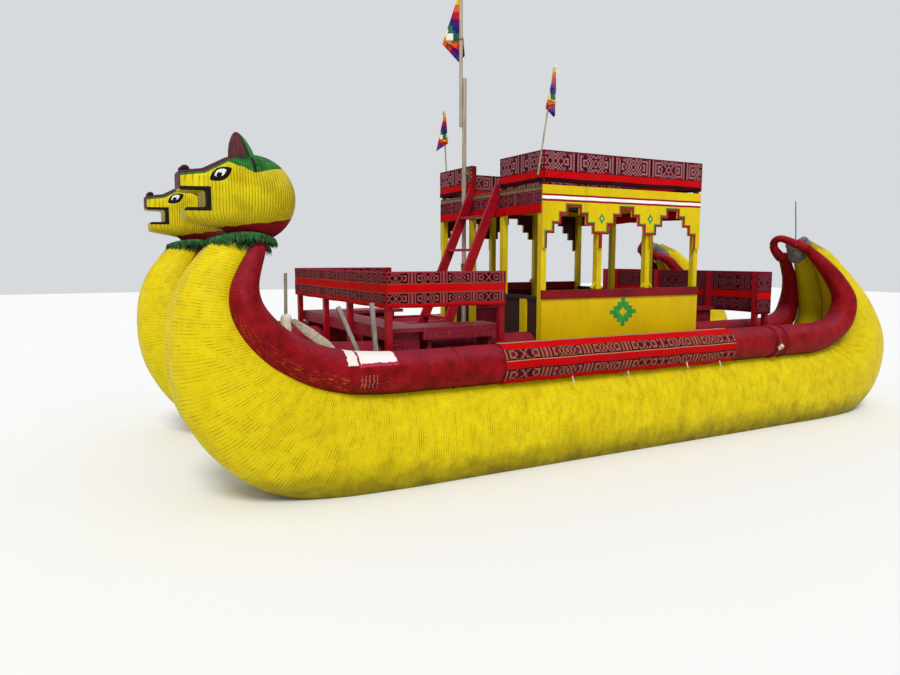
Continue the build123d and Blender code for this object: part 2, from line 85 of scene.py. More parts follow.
# The gunwale rolls: x, z, heading, radius, offset of the outer roll, offset of the inner roll
ROLL_TIPS = {1: (-3.010, 2.285, 235, 0.060, 0.170, 0.170), -1: (-3.085, 2.160, 232, 0.066, 0.190, 0.190)}
ROLL_STERN = [
    (-3.290, 2.040, 222, 0.092, 0.265, 0.265), (-3.490, 1.825, 235, 0.122, 0.325, 0.325),
    (-3.610, 1.560, 262, 0.153, 0.395, 0.395), (-3.510, 1.280, 300, 0.175, 0.405, 0.405),
    (-3.200, 1.120, 335, 0.190, 0.402, 0.415), (-2.950, 1.078, 352, 0.198, 0.400, 0.425),
    (-2.750, 1.070, 360, 0.200, 0.400, 0.430)]
ROLL_BOW = [
    (2.750, 1.070, 360, 0.200, 0.400, 0.430), (3.150, 1.076, 363, 0.200, 0.400, 0.430),
    (3.580, 1.130, 376, 0.198, 0.400, 0.415), (3.990, 1.305, 396, 0.182, 0.420, 0.420),
    (4.250, 1.580, 422, 0.154, 0.430, 0.430), (4.300, 1.850, 450, 0.120, 0.365, 0.365),
    (4.140, 2.190, 472, 0.067, 0.195, 0.195), (4.105, 2.262, 478, 0.040, 0.150, 0.150)]
# An ear's root and tip: X, distance from the hull's middle, Z
EAR_ROOT, EAR_TIP = Vector((4.228, 0.100, 2.850)), Vector((4.288, 0.160, 3.130))


# Camera and light

CAMERA_PLACE = Vector((5.56, 7.54, 2.10))
CAMERA_YAW = 0.496          # turned from the stern-to-bow direction, radians
CAMERA_PITCH = 0.112        # downwards
CAMERA_ROLL = 0.001
FOCAL_PIXELS = 703.74
PICTURE_WIDTH = 900
SENSOR_WIDTH = 36.0


def linear(colour):
    """An sRGB hex colour as the linear values that nodes take."""
    values = [int(colour[i:i + 2], 16) / 255 for i in (1, 3, 5)]
    return tuple(v / 12.92 if v <= 0.04045 else ((v + 0.055) / 1.055) ** 2.4 for v in values) + (1.0,)


def place_camera():
    """Puts the camera where the photograph was taken from."""
    forward = Vector((-math.sin(CAMERA_YAW) * math.cos(CAMERA_PITCH),
                      -math.cos(CAMERA_YAW) * math.cos(CAMERA_PITCH), -math.sin(CAMERA_PITCH)))
    right = forward.cross(Vector((0, 0, 1))).normalized()
    up = right.cross(forward)
    turned_right = math.cos(CAMERA_ROLL) * right + math.sin(CAMERA_ROLL) * up
    turned_up = math.cos(CAMERA_ROLL) * up - math.sin(CAMERA_ROLL) * right
    data = bpy.data.cameras.new("camera")
    data.sensor_width = SENSOR_WIDTH
    data.lens = FOCAL_PIXELS * SENSOR_WIDTH / PICTURE_WIDTH
    data.clip_end = 200
    camera = bpy.data.objects.new("camera", data)
    scene.collection.objects.link(camera)
    axes = Matrix((turned_right, turned_up, -forward)).transposed().to_4x4()
    camera.matrix_world = Matrix.Translation(CAMERA_PLACE) @ axes
    scene.camera = camera


def light_the_boat():
    """Even daylight from a pale world and one soft sun, high over the port bow."""
    world = bpy.data.worlds.new("daylight")
    world.use_nodes = True
    background = world.node_tree.nodes["Background"]
    background.inputs["Color"].default_value = linear("#F4F7FB")
    background.inputs["Strength"].default_value = 0.75
    scene.world = world
    sun = bpy.data.lights.new("sun", "SUN")
    sun.energy = 2.3
    sun.angle = 0.35
    sun.color = linear("#FFF8EC")[:3]
    lamp = bpy.data.objects.new("sun", sun)
    lamp.rotation_euler = (math.radians(-33), math.radians(22), 0)
    scene.collection.objects.link(lamp)


# Materials

# Short names for the kinds of node in use, and what all nodes of a kind share. A name in capitals that
# isn't here is an operation of the math node.
KINDS = {"Noise": "TexNoise", "Waves": "TexWave", "Mapping": "Mapping", "Place": "TexCoord", "UV": "UVMap",
         "Split": "SeparateXYZ", "Join": "CombineXYZ", "Ramp": "ValToRGB", "Bump": "Bump", "Mix": "Mix"}
SHARED = {"Noise": {"Scale": 1.0}, "UV": {"uv_map": "UVMap"}, "Mix": {"data_type": "RGBA"}}
RIDGE_SCALE = 6.28      # a wave texture's ridges are 1 / (this x its scale) metres wide


def add_node(mat, kind, *feeds, stops=(), **settings):
    """Adds one node and returns it. feeds go to its inputs in use, in their order, and settings with a
    capital to the inputs of that name. A feed is a value, a hex colour, an output, or a node, which stands
    for its first output in use. stops are a ramp's places and their colours or values."""
    node = mat.node_tree.nodes.new("ShaderNode" + KINDS.get(kind, "Math"))
    settings = {**(SHARED.get(kind, {}) if kind in KINDS else {"operation": kind}), **settings}
    for name in [name for name in settings if name[0].islower()]:
        setattr(node, name, settings.pop(name))
    for i, (place, colour) in enumerate(stops):
        entry = node.color_ramp.elements[i] if i < 2 else node.color_ramp.elements.new(place)
        entry.position = place
        entry.color = linear(colour) if isinstance(colour, str) else (colour, colour, colour, 1)
    inputs = [*zip([socket for socket in node.inputs if socket.enabled], feeds),
              *((node.inputs[name], value) for name, value in settings.items())]
    for socket, value in inputs:
        if isinstance(value, bpy.types.Node):
            value = next(output for output in value.outputs if output.enabled)
        if isinstance(value, bpy.types.NodeSocket):
            mat.node_tree.links.new(value, socket)
        else:
            socket.default_value = linear(value) if isinstance(value, str) else value
    return node


def begin(name, roughness, **sockets):
    """A new material, whose shader has the values that are the same all over, what adds its nodes, and the
    place on the object."""
    mat = bpy.data.materials.new(name)
    mat.use_nodes = True
    shader = mat.node_tree.nodes["Principled BSDF"]
    shader.inputs["Roughness"].default_value = roughness
    for socket, value in sockets.items():
        shader.inputs[socket.replace("_", " ")].default_value = value
    add = functools.partial(add_node, mat)
    return mat, add, add("Place").outputs["Object"]


def dress(mat, colour, height, depth):
    """Links a material's colour and height to its shader. depth is the height's full range, in metres."""
    shader, links = mat.node_tree.nodes["Principled BSDF"], mat.node_tree.links
    links.new(next(output for output in colour.outputs if output.enabled), shader.inputs["Base Color"])
    bump = add_node(mat, "Bump", Height=height, Distance=depth, Strength=1.0)
    links.new(bump.outputs["Normal"], shader.inputs["Normal"])
    return mat


def painted_reed():
    """Totora reed bound with cord and brushed with yellow paint: a dark line at each binding cord, faint
    reeds along the hull, thin worn patches, and olive stains towards the water."""
    mat, add, place = begin("painted_totora_reed", 0.5, Specular_IOR_Level=0.1)
    uv = add("UV")
    x, _, z = add("Split", place).outputs
    # V counts the bindings, U is metres round the bundle
    wander = add("Noise", add("Mapping", uv, Scale=(7, 0.11, 1)), Detail=3)
    moved = add("MULTIPLY_ADD", wander, 0.5, add("Split", uv).outputs["Y"])
    line = add("Ramp", add("PINGPONG", moved, 0.5), stops=[(0.02, 1.0), (0.19, 0.0)])
    broken = add("Noise", add("Mapping", uv, Scale=(9, 0.35, 1)), Detail=4)
    lines = add("MULTIPLY", line, add("Ramp", broken, stops=[(0.40, 0.0), (0.66, 1.0)]))
    # reeds 9 mm wide run along the hull
    reeds = add("Noise", add("Mapping", uv, Scale=(110, 0.25, 1)), Detail=3)
    mottle = add("Noise", place, Scale=5.0, Detail=6, Roughness=0.62)
    wide = add("Noise", place, Scale=1.1, Detail=3)
    colour = add("Ramp", mottle, stops=[(0.30, "#C2AE02"), (0.46, "#D0BC03"), (0.72, "#DAC80A")])
    colour = add("Mix", add("Ramp", wide, stops=[(0.42, 0.0), (0.75, 0.35)]), colour, "#BFA408")
    colour = add("Mix", add("Ramp", reeds, stops=[(0.50, 0.0), (0.68, 0.30)]), colour, "#A08A06")
    colour = add("Mix", add("MULTIPLY", lines, 0.38), colour, "#6A5A05")
    # olive on the stern's faces that look forward, in the hollow of its curl
    inner = add("Ramp", add("Split", add("Place").outputs["Normal"]).outputs["X"],
                stops=[(0.15, 0.0), (0.5, 0.6)])
    at_stern = add("LESS_THAN", x, -2.6)
    colour = add("Mix", add("MULTIPLY", inner, at_stern), colour, "#968408")
    # green run down from the collar, olive at the stern's tips
    greens = add("Mix", at_stern, "#2C8A2A", "#968408")
    run = add("SUBTRACT", add("MULTIPLY_ADD", broken, 0.22, z), 1.6)
    colour = add("Mix", add("Ramp", run, stops=[(0.725, 0.0), (0.745, 0.85)]), colour, greens)
    # from bare yellow a third of a metre above the water to olive at the waterline, with a ragged edge
    wet = add("Ramp", add("MULTIPLY_ADD", mottle, 0.35, z), stops=[(0.16, 0.85), (0.50, 0.0)])
    colour = add("Mix", wet, colour, "#5E560C")
    return dress(mat, colour, add("MULTIPLY_ADD", reeds, 0.35, add("MULTIPLY", lines, -1.0)), 0.004)


def crimson_wrap():
    """Gunwale roll: reed wound tight with cord and painted crimson. Its top is lighter, for dust and a
    painted sheen, and old orange and yellow paint shows low on its sides near the bow."""
    mat, add, place = begin("crimson_painted_roll", 0.55, Specular_IOR_Level=0.08)
    uv, facing = add("UV"), add("Split", add("Place").outputs["Normal"]).outputs["Z"]
    wander = add("Noise", add("Mapping", uv, Scale=(8, 0.2, 1)), Detail=3)
    moved = add("MULTIPLY_ADD", wander, 0.7, add("Split", uv).outputs["Y"])
    line = add("Ramp", add("PINGPONG", moved, 0.5), stops=[(0.02, 1.0), (0.22, 0.0)])
    mottle = add("Noise", place, Scale=7.0, Detail=6, Roughness=0.6)
    colour = add("Ramp", mottle, stops=[(0.32, "#62030A"), (0.50, "#80060F"), (0.72, "#94101C")])
    # dust and a painted sheen: the roll is lighter and pinker towards its top
    dust_and_sheen = add("MULTIPLY_ADD", mottle, 0.5, facing)
    colour = add("Mix", add("Ramp", dust_and_sheen, stops=[(0.60, 0.0), (1.0, 0.40)]), colour, "#8C3046")
    colour = add("Mix", add("MULTIPLY", line, 0.26), colour, "#3A0206")
    # flecks of old paint, low on the sides and only near the bow
    scuffs = add("Noise", add("Mapping", uv, Scale=(70, 0.22, 1)), Detail=4, Roughness=0.7)
    fleck = add("Ramp", scuffs, stops=[(0.56, 0.0), (0.62, 1.0)])
    height = add("MULTIPLY_ADD", facing, 0.5, 0.5)
    low = add("Ramp", height, stops=[(0.08, 0.0), (0.16, 1.0), (0.36, 1.0), (0.48, 0.0)])
    bow = add("Ramp", add("DIVIDE", add("Split", place).outputs["X"], 5.0), stops=[(0.56, 0.0), (0.72, 1.0)])
    where = add("MULTIPLY", add("MULTIPLY", fleck, low), bow)
    old_paint = add("Ramp", mottle, stops=[(0.45, "#C4621A"), (0.6, "#C9A21A")])
    colour = add("Mix", add("MULTIPLY", where, 0.5), colour, old_paint)
    # painted shade: the roll's underside darkens to almost black
    colour = add("Mix", add("Ramp", height, stops=[(0.03, 0.85), (0.15, 0.0)]), colour, "#1C0103")
    # white patch stuck over a tear near the port bow, in two pieces with ragged edges, and scratches under it
    ragged = add("MULTIPLY_ADD", add("Noise", place, Scale=22.0, Detail=3), 0.04, -0.02)
    x, y, z = [add("ADD", axis, ragged) for axis in add("Split", place).outputs]
    outside = add("GREATER_THAN", y, 1.60)
    for rear, front, low, paint in ((3.02, 3.40, 1.165, "#A82A42"), (3.035, 3.385, 1.195, "#E2DEDE"),
                                    (3.405, 3.50, 1.185, "#DEDAD8")):
        patch = add("COMPARE", x, (rear + front) / 2, (front - rear) / 2)
        patch = add("MULTIPLY", patch, add("GREATER_THAN", z, low))
        colour = add("Mix", add("MULTIPLY", patch, outside), colour, paint)
    scratched = add("MULTIPLY", add("COMPARE", x, 3.30, 0.085), add("COMPARE", z, 1.035, 0.06))
    strokes = add("LESS_THAN", add("PINGPONG", x, 0.018), 0.0022)
    scratched = add("MULTIPLY", add("MULTIPLY", scratched, strokes), outside)
    colour = add("Mix", add("MULTIPLY", scratched, 0.6), colour, "#C8A49C")
    return dress(mat, colour, add("MULTIPLY_ADD", line, -0.6, mottle), 0.003)


def woven_cloth(name, bands, cell=0.016, period=0.20, ground="#35070F", figures=("#8C4A4C", "#6A1A26")):
    """Andean woven cloth, whose bands run along it. UV is in metres: U along, V from one edge. bands are
    (where a band ends, its kind): a hex colour for a plain stripe, or "figures" for nested stepped diamonds
    and boxes on a dark ground, drawn in cells as coarse as they need to be to show."""
    mat, add, place = begin(name, 0.85, Specular_IOR_Level=0.05)
    uv = add("UV")
    along, across, _ = add("Split", uv).outputs
    starts = [0.0] + [end for end, kind in bands[:-1]]
    middles = [(start + end) / 2 for start, (end, kind) in zip(starts, bands) if kind == "figures"]
    away = [add("ABSOLUTE", add("SUBTRACT", across, middle)) for middle in middles]
    from_middle = add("MINIMUM", away[0], away[-1])
    from_centre = add("PINGPONG", along, period / 2)
    a, b = [add("FLOOR", add("MULTIPLY", way, 1 / cell)) for way in (from_centre, from_middle)]
    number = add("FLOOR", add("MULTIPLY", along, 1 / period))
    uneven = add("Noise", add("Join", a, b, number), Scale=0.43, Detail=0)
    diamond = add("ADD", add("ADD", a, b), uneven)
    box = add("ADD", add("MAXIMUM", a, b), uneven)
    odd = add("GREATER_THAN", add("FLOORED_MODULO", number, 2.0), 0.5)
    chosen = add("Mix", odd, diamond, box, data_type="FLOAT")
    ring = add("MULTIPLY", add("FLOORED_MODULO", chosen, 4.0), 0.25)
    colour = add("Ramp", ring, stops=[(0.0, figures[1]), (0.30, figures[0]), (0.5, ground),
                                      (0.75, figures[0]), (0.9, ground)])
    colour.color_ramp.interpolation = "CONSTANT"
    for start, (end, kind) in zip(starts, bands):
        if kind != "figures":
            inside = add("MULTIPLY", add("GREATER_THAN", across, start), add("LESS_THAN", across, end))
            colour = add("Mix", inside, colour, kind)
    faded = add("Noise", place, Scale=3.0, Detail=4)
    colour = add("Mix", add("Ramp", faded, stops=[(0.45, 0.0), (0.8, 0.12)]), colour, "#7A3A40")
    threads = add("Waves", uv, Scale=1 / 0.0035 / RIDGE_SCALE, Distortion=0.4, bands_direction="Y")
    creases = add("Noise", add("Mapping", uv, Scale=(9, 4, 1)), Detail=3)
    return dress(mat, colour, add("MULTIPLY_ADD", threads, 0.15, creases), 0.006)


def gloss_paint(name, pale, deep, worn, roughness=0.35, wear=0.62, grain=(3, 60, 60)):
    """Brushed oil paint over planed softwood, a little darker along the grain, with chips to the wood."""
    mat, add, place = begin(name, roughness, Specular_IOR_Level=0.1, Coat_Weight=0.03, Coat_Roughness=0.2)
    strokes = add("Noise", add("Mapping", place, Scale=grain), Detail=5)
    cloud = add("Noise", place, Scale=2.3, Detail=4)
    both = add("MULTIPLY_ADD", strokes, 0.5, add("MULTIPLY", cloud, 0.5))
    chips = add("Noise", place, Scale=38.0, Detail=5, Roughness=0.7)
    chipped = add("Ramp", chips, stops=[(wear, 0.0), (wear + 0.03, 1.0)])
    colour = add("Mix", chipped, add("Ramp", both, stops=[(0.38, deep), (0.62, pale)]), worn)
    return dress(mat, colour, add("MULTIPLY_ADD", chipped, -0.6, strokes), 0.0012)


def bare_wood(name, pale, deep, grain=(2.2, 55, 55)):
    """Weathered softwood, with grain about 18 mm wide along its length."""
    mat, add, place = begin(name, 0.75, Specular_IOR_Level=0.25)
    lines = add("Noise", add("Mapping", place, Scale=grain), Detail=6, Roughness=0.65, Distortion=0.6)
    dirt = add("Ramp", add("Noise", place, Scale=4.0, Detail=5), stops=[(0.5, 0.0), (0.8, 0.5)])
    colour = add("Mix", dirt, add("Ramp", lines, stops=[(0.34, deep), (0.62, pale)]), deep)
    return dress(mat, colour, lines, 0.0015)


def painted_wall(name, stripes, pale="#D6BC08", deep="#C6AA04"):
    """Plywood wall in yellow gloss paint. stripes are those painted along it, as (low, high, colour) in Z."""
    mat, add, place = begin(name, 0.42, Specular_IOR_Level=0.08, Coat_Weight=0.02, Coat_Roughness=0.3)
    _, y, z = add("Split", place).outputs
    cloud = add("Noise", place, Scale=1.6, Detail=5, Roughness=0.6)
    colour = add("Ramp", cloud, stops=[(0.36, deep), (0.64, pale)])
    level = add("MULTIPLY_ADD", add("Noise", add("Mapping", place, Scale=(6, 6, 0.1))), 0.006, z)
    for low, high, stripe in stripes:
        inside = add("MULTIPLY", add("GREATER_THAN", level, low), add("LESS_THAN", level, high))
        colour = add("Mix", inside, colour, stripe)
    grime = add("Noise", add("Mapping", place, Scale=(9, 9, 1.5)), Detail=6)
    colour = add("Mix", add("Ramp", grime, stops=[(0.56, 0.0), (0.85, 0.35)]), colour, "#8A6E08")
    # the side that faces into the cabin is dark brown
    facing = add("Split", add("Place").outputs["Normal"]).outputs["Y"]
    inward = add("LESS_THAN", add("MULTIPLY", facing, y), -0.4)
    colour = add("Mix", inward, colour, "#3A1614")
    return dress(mat, colour, add("Noise", place, Scale=90.0, Detail=2), 0.0006)


def head_paint():
    """Head of bound reed: raised reeds run down from crown to chin, painted yellow, with a green mane, a
    dark red throat, a maroon line along the snout and black round the eyes and mouth. side is from the
    hull's middle plane."""
    mat, add, place = begin("painted_head_reed", 0.45, Specular_IOR_Level=0.12)
    x, y, z = add("Split", place).outputs
    side = add("ABSOLUTE", add("SUBTRACT", add("ABSOLUTE", y), HULL_CENTRE))
    # reeds about 24 mm apart round an upright axis through the skull
    turn = add("ARCTAN2", side, add("SUBTRACT", x, 4.19))
    fine = add("Noise", place, Scale=9.0, Detail=3)
    reed = add("PINGPONG", add("MULTIPLY_ADD", turn, 15.0, add("MULTIPLY", fine, 0.9)), 0.5)
    patchy = add("Noise", place, Scale=14.0, Detail=4)
    kept = add("Ramp", patchy, stops=[(0.35, 0.25), (0.6, 1.0)])
    groove = add("MULTIPLY", add("Ramp", reed, stops=[(0.0, 1.0), (0.16, 0.0)]), kept)
    colour = add("Ramp", add("Noise", place, Scale=4.0, Detail=5),
                 stops=[(0.34, "#B8A400"), (0.62, "#D8C60E")])
    colour = add("Mix", add("MULTIPLY", groove, 0.6), colour, "#6E5C04")
    low = add("Ramp", add("SUBTRACT", z, 2.2), stops=[(0.14, 0.55), (0.42, 0.0)])
    colour = add("Mix", low, colour, "#9A8000")
    ragged = add("MULTIPLY_ADD", fine, 0.05, z)
    # mane: above a line that climbs away from the ear's root, faster ahead of it than behind
    ahead, behind = [add("MAXIMUM", add("SUBTRACT", *ends), 0.0) for ends in ((x, 4.18), (4.18, x))]
    edge = add("MULTIPLY_ADD", ahead, 0.45, add("MULTIPLY_ADD", behind, 0.25, 2.815))
    green = add("Ramp", patchy, stops=[(0.35, "#0C4A18"), (0.65, "#24802E")])
    colour = add("Mix", add("GREATER_THAN", ragged, edge), colour, green)
    # the ear's dark rim runs on down over the mane behind it
    tail = add("MULTIPLY", add("COMPARE", x, 4.172, 0.012), add("COMPARE", z, 2.86, 0.065))
    colour = add("Mix", tail, colour, "#2A0E16")
    # throat: below a line that climbs to the back
    throat = add("LESS_THAN", ragged, add("MULTIPLY_ADD", add("SUBTRACT", 4.55, x), 0.13, 2.365))
    colour = add("Mix", add("MULTIPLY", throat, add("LESS_THAN", x, 4.52)), colour, "#7E0E16")
    # snout: maroon along its profile, with a thin green line under it, and maroon down the nose's edge
    brow, bridge = [add("MULTIPLY_ADD", x, -slope, level + slope * at)
                    for slope, level, at in ((0.55, 2.925, 4.37), (0.128, 2.826, 4.56))]
    down = add("SUBTRACT", add("MAXIMUM", brow, bridge), z)
    ahead_of_brow = add("GREATER_THAN", x, 4.27)
    nose = add("MULTIPLY", add("GREATER_THAN", x, 4.732), add("GREATER_THAN", z, 2.66))
    for depth, paint, end in ((0.048, "#1E6A28", 0.0), (0.031, "#4E1030", nose)):
        line = add("MULTIPLY", add("LESS_THAN", down, depth), ahead_of_brow)
        colour = add("Mix", add("MAXIMUM", line, end), colour, paint)
    # mouth: a black band round the outer edge of the opening, yellow inside
    band = add("GREATER_THAN", side, add("MULTIPLY_ADD", x, -0.305, 0.155 + 0.305 * 4.56))
    for value, edge, way in ((x, 4.512, "GREATER_THAN"), (z, 2.480, "GREATER_THAN"), (z, 2.674, "LESS_THAN")):
        band = add("MULTIPLY", band, add(way, value, edge))
    colour = add("Mix", band, colour, "#15120E")
    # eye: a black almond that leans forward, white inside, with a pupil; each by its middle, half length
    # and half width
    lean = (math.cos(0.52), math.sin(0.52))
    for middle, long, short, paint in (((4.437, 2.773), 0.093, 0.052, "#100E0C"),
                                       ((4.440, 2.783), 0.050, 0.028, "#E8E6E0"),
                                       ((4.449, 2.768), 0.024, 0.018, "#100E0C")):
        across, above = add("SUBTRACT", x, middle[0]), add("SUBTRACT", z, middle[1])
        length = add("MULTIPLY_ADD", across, lean[0] / long, add("MULTIPLY", above, -lean[1] / long))
        width = add("MULTIPLY_ADD", across, lean[1] / short, add("MULTIPLY", above, lean[0] / short))
        reach = add("ADD", add("POWER", add("ABSOLUTE", length), 1.6),
                    add("POWER", add("ABSOLUTE", width), 1.4))
        flank = add("MULTIPLY", add("LESS_THAN", reach, 1.0), add("GREATER_THAN", side, 0.13))
        colour = add("Mix", flank, colour, paint)
    return dress(mat, colour, add("MULTIPLY_ADD", reed, 1.2, add("MULTIPLY", groove, -0.4)), 0.010)


def ear_paint():
    """Ear of bound reed: dark maroon in its hollow, almost black along its rims, and green behind. U runs
    once round the ear from its back edge, first over its outer side."""
    mat, add, place = begin("maroon_ear_reed", 0.5)
    around = add("Split", add("UV")).outputs["X"]
    cloud = add("Noise", add("Mapping", place, Scale=(60, 60, 8)), Detail=4)
    maroon = add("Ramp", cloud, stops=[(0.36, "#3A0E14"), (0.66, "#6A1A22")])
    colour = add("Mix", add("COMPARE", around, 0.335, 0.145), "#1C7A2A", maroon)
    for middle in (0.165, 0.48):
        colour = add("Mix", add("COMPARE", around, middle, 0.03), colour, "#1E0C12")
    return dress(mat, colour, cloud, 0.004)


def weathered_steel(name, pale, deep):
    """Thin steel bar, dull grey and spotted with rust."""
    mat, add, place = begin(name, 0.55, Metallic=0.7)
    spots = add("Noise", place, Scale=60.0, Detail=5)
    colour = add("Mix", add("Ramp", spots, stops=[(0.58, 0.0), (0.66, 0.7)]),
                 add("Ramp", spots, stops=[(0.35, deep), (0.6, pale)]), "#5A3A2A")
    return dress(mat, colour, spots, 0.0006)


def dyed_fringe(name, pale, deep):
    """Dyed reed fringe, matte, each blade a little different."""
    mat, add, place = begin(name, 0.8)
    colour = add("Ramp", add("Noise", place, Scale=28.0, Detail=3), stops=[(0.34, deep), (0.64, pale)])
    return dress(mat, colour, add("Noise", add("Mapping", place, Scale=(300, 300, 60))), 0.001)


def plain_cloth(name, pale, deep, thread=0.0025):
    """Plain-weave cotton, soft and creased."""
    mat, add, place = begin(name, 0.9, Sheen_Weight=0.2)
    creases = add("Noise", place, Scale=22.0, Detail=5, Roughness=0.65)
    threads = add("Waves", place, Scale=1 / thread / RIDGE_SCALE, Distortion=1.0, bands_direction="DIAGONAL")
    # painted shade: the colour follows the creases' height, darker in their hollows
    colour = add("Ramp", creases, stops=[(0.32, deep), (0.64, pale)])
    return dress(mat, colour, add("MULTIPLY_ADD", threads, 0.12, creases), 0.004)


def chequered_flag(name, side):
    """Light polyester flag in the seven colours of the Andean chequer, in squares that step sideways."""
    mat, add, place = begin(name, 0.8, Specular_IOR_Level=0.1)
    column, row = [add("FLOOR", add("DIVIDE", axis, side / FIELDS))
                   for axis in add("Split", add("UV")).outputs[:2]]
    step = add("MODULO", add("ADD", column, row), float(FIELDS))
    dyes = ("#E0DED6", "#DCB818", "#D05A14", "#B0101E", "#521066", "#14186C", "#0C5C40")
    dyed = add("Ramp", add("DIVIDE", add("ADD", step, 0.5), float(FIELDS)),
               stops=[(i / FIELDS, dye) for i, dye in enumerate(dyes)])
    dyed.color_ramp.interpolation = "CONSTANT"
    bleached = add("Noise", place, Scale=9.0, Detail=4)
    colour = add("Mix", add("Ramp", bleached, stops=[(0.45, 0.0), (0.8, 0.15)]), dyed, "#E8DCD8")
    return dress(mat, colour, bleached, 0.003)


place_camera()
light_the_boat()
scene.view_settings.view_transform = "Standard"

REED = painted_reed()
CRIMSON = crimson_wrap()
HEAD = head_paint()
EAR = ear_paint()
KNOB = gloss_paint("dark_nose_paint", "#3A1424", "#1E0A12", "#2A1014")
RED = gloss_paint("red_oil_paint", "#A01020", "#7E0814", "#5A2A22")
MAROON = gloss_paint("maroon_oil_paint", "#8A1218", "#60080E", "#4A2620", roughness=0.45)
BENCH = gloss_paint("worn_bench_paint", "#902438", "#6E1020", "#6E5648", roughness=0.45, wear=0.60)
YELLOW = gloss_paint("yellow_oil_paint", "#D8C008", "#BCA204", "#7A6A3A", grain=(60, 60, 3))
YELLOW_RAIL = gloss_paint("yellow_oil_paint_lengthwise", "#D8C008", "#BCA204", "#7A6A3A")
DECKING = gloss_paint("worn_deck_paint", "#7A2C34", "#541A1C", "#8A7660", roughness=0.6, wear=0.55)
ARCADE = painted_wall("arcade_gloss_paint", [(2.728, 2.752, "#8E1020"), (2.752, 2.786, "#F0ECEA"),
                                             (2.786, 2.808, "#8E1020")])
LOWER = painted_wall("lower_wall_gloss_paint", [], "#D8B802", "#CAA800")
DARK_BOARD = bare_wood("dark_stained_board", "#3A2622", "#1E1412")
ROOF = bare_wood("roof_plywood", "#66503A", "#3C2C20")
BEAM = bare_wood("unpainted_pine", "#8E6E4A", "#5E4630")
POLE = bare_wood("weathered_pole", "#B8AC9C", "#847868", grain=(40, 40, 2.0))
STICK = bare_wood("split_stick", "#A89C84", "#7A6C54", grain=(30, 30, 4))
STAKE = bare_wood("grey_stake", "#A09A92", "#6E6862", grain=(30, 30, 4))
PADDLE = bare_wood("paddle_board", "#B8B0A4", "#8A8074", grain=(5, 40, 40))
STEEL = weathered_steel("rusted_steel_rod", "#6E6E72", "#48484C")
WRAP = plain_cloth("grey_binding_cloth", "#726E62", "#3C3A36")
ROPE = plain_cloth("white_polypropylene_rope", "#D8D4CC", "#9E988C", thread=0.004)
TAPE = plain_cloth("white_patch_cloth", "#EEE8E4", "#C8BCB8")
RED_CLOTH = plain_cloth("red_knotted_cloth", "#B01824", "#7A0A14")
FRINGE = dyed_fringe("green_dyed_fringe", "#206A2A", "#0A2A10")
GREEN_PAINT = dyed_fringe("green_wall_paint", "#2A9A3C", "#167A28")
LARGE_CHEQUER = chequered_flag("chequered_polyester", LARGE_FLAG)
SMALL_CHEQUER = chequered_flag("chequered_polyester_small", SMALL_FLAG)
SLEEVE = woven_cloth("awning_stripe_sleeve", [
    (0.075, "#7E0A12"), (0.122, "#9C8260"), (0.230, "#B60408"), (0.338, "figures"), (0.348, "#2E1010"),
    (0.356, "#A8805E"), (0.430, "#AC0408"), (0.440, "#2E1010"), (0.547, "figures"), (0.70, "#AC0408")],
    cell=0.023, period=0.26, ground="#360E0C", figures=("#8C5244", "#66101A"))
RAIL_CLOTH = woven_cloth("rail_band_cloth", [
    (0.010, "#94283A"), (0.110, "figures"), (0.118, "#6A4A30"), (0.195, "#B60408"), (0.204, "#6A4A30"),
    (0.300, "figures"), (0.36, "#B00408")],
    cell=0.0145, period=0.17, ground="#1C0206", figures=("#8C4044", "#420810"))
REAR_CLOTH = woven_cloth("rear_band_cloth", [
    (0.030, "#6E0A18"), (0.250, "figures"), (0.262, "#4A0812"), (0.350, "#B40408"), (0.360, "#4A0812"),
    (0.500, "figures"), (0.56, "#6E0A14")],
    cell=0.020, period=0.26, ground="#30060E", figures=("#6E3440", "#4E0E1A"))
PARAPET_CLOTH = woven_cloth("parapet_band_cloth", [
    (0.012, "#4A0A14"), (0.208, "figures"), (0.216, "#3A0810"), (0.290, "#BC0408"), (0.34, "#2E0810")],
    cell=0.020, period=0.28, figures=("#94646A", "#6A1A28"))
VALANCE_CLOTH = woven_cloth("valance_cloth", [
    (0.008, "#5A0C16"), (0.140, "figures"), (0.147, "#5A0C16"), (0.260, "#B60408")],
    cell=0.016, period=0.19, ground="#2C050C", figures=("#7E3C44", "#5E1020"))


# Modelling

def select_alone(piece):
    """Selects one piece and makes it active."""
    bpy.ops.object.select_all(action="DESELECT")
    piece.select_set(True)
    bpy.context.view_layer.objects.active = piece


def edit_mesh(merge=0.0, outward=True):
    """Joins those points of the active piece that are closer than merge, and turns its faces outward."""
    bpy.ops.object.mode_set(mode="EDIT")
    bpy.ops.mesh.select_all(action="SELECT")
    if merge:
        bpy.ops.mesh.remove_doubles(threshold=merge)
    if outward:
        bpy.ops.mesh.normals_make_consistent(inside=False)
    bpy.ops.object.mode_set(mode="OBJECT")


def apply_modifier(piece, kind, **settings):
    """Gives the active piece a modifier with its settings, and applies it."""
    modifier = piece.modifiers.new(kind.lower(), kind)
    for name, value in settings.items():
        setattr(modifier, name, value)
    bpy.ops.object.modifier_apply(modifier=modifier.name)


def finish_piece(piece, material, slot, *replaced, smooth=True):
    """Gives the selected piece its material, shades it smooth if asked, ties it to the boat and hides the CAD
    nodes it stands for. slot, the one it would take its finish from, is not used."""
    if smooth:
        bpy.ops.object.shade_smooth()
    piece.data.materials.clear()
    piece.data.materials.append(material)
    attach(piece, "root")
    if replaced:
        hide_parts(*replaced)
    return piece


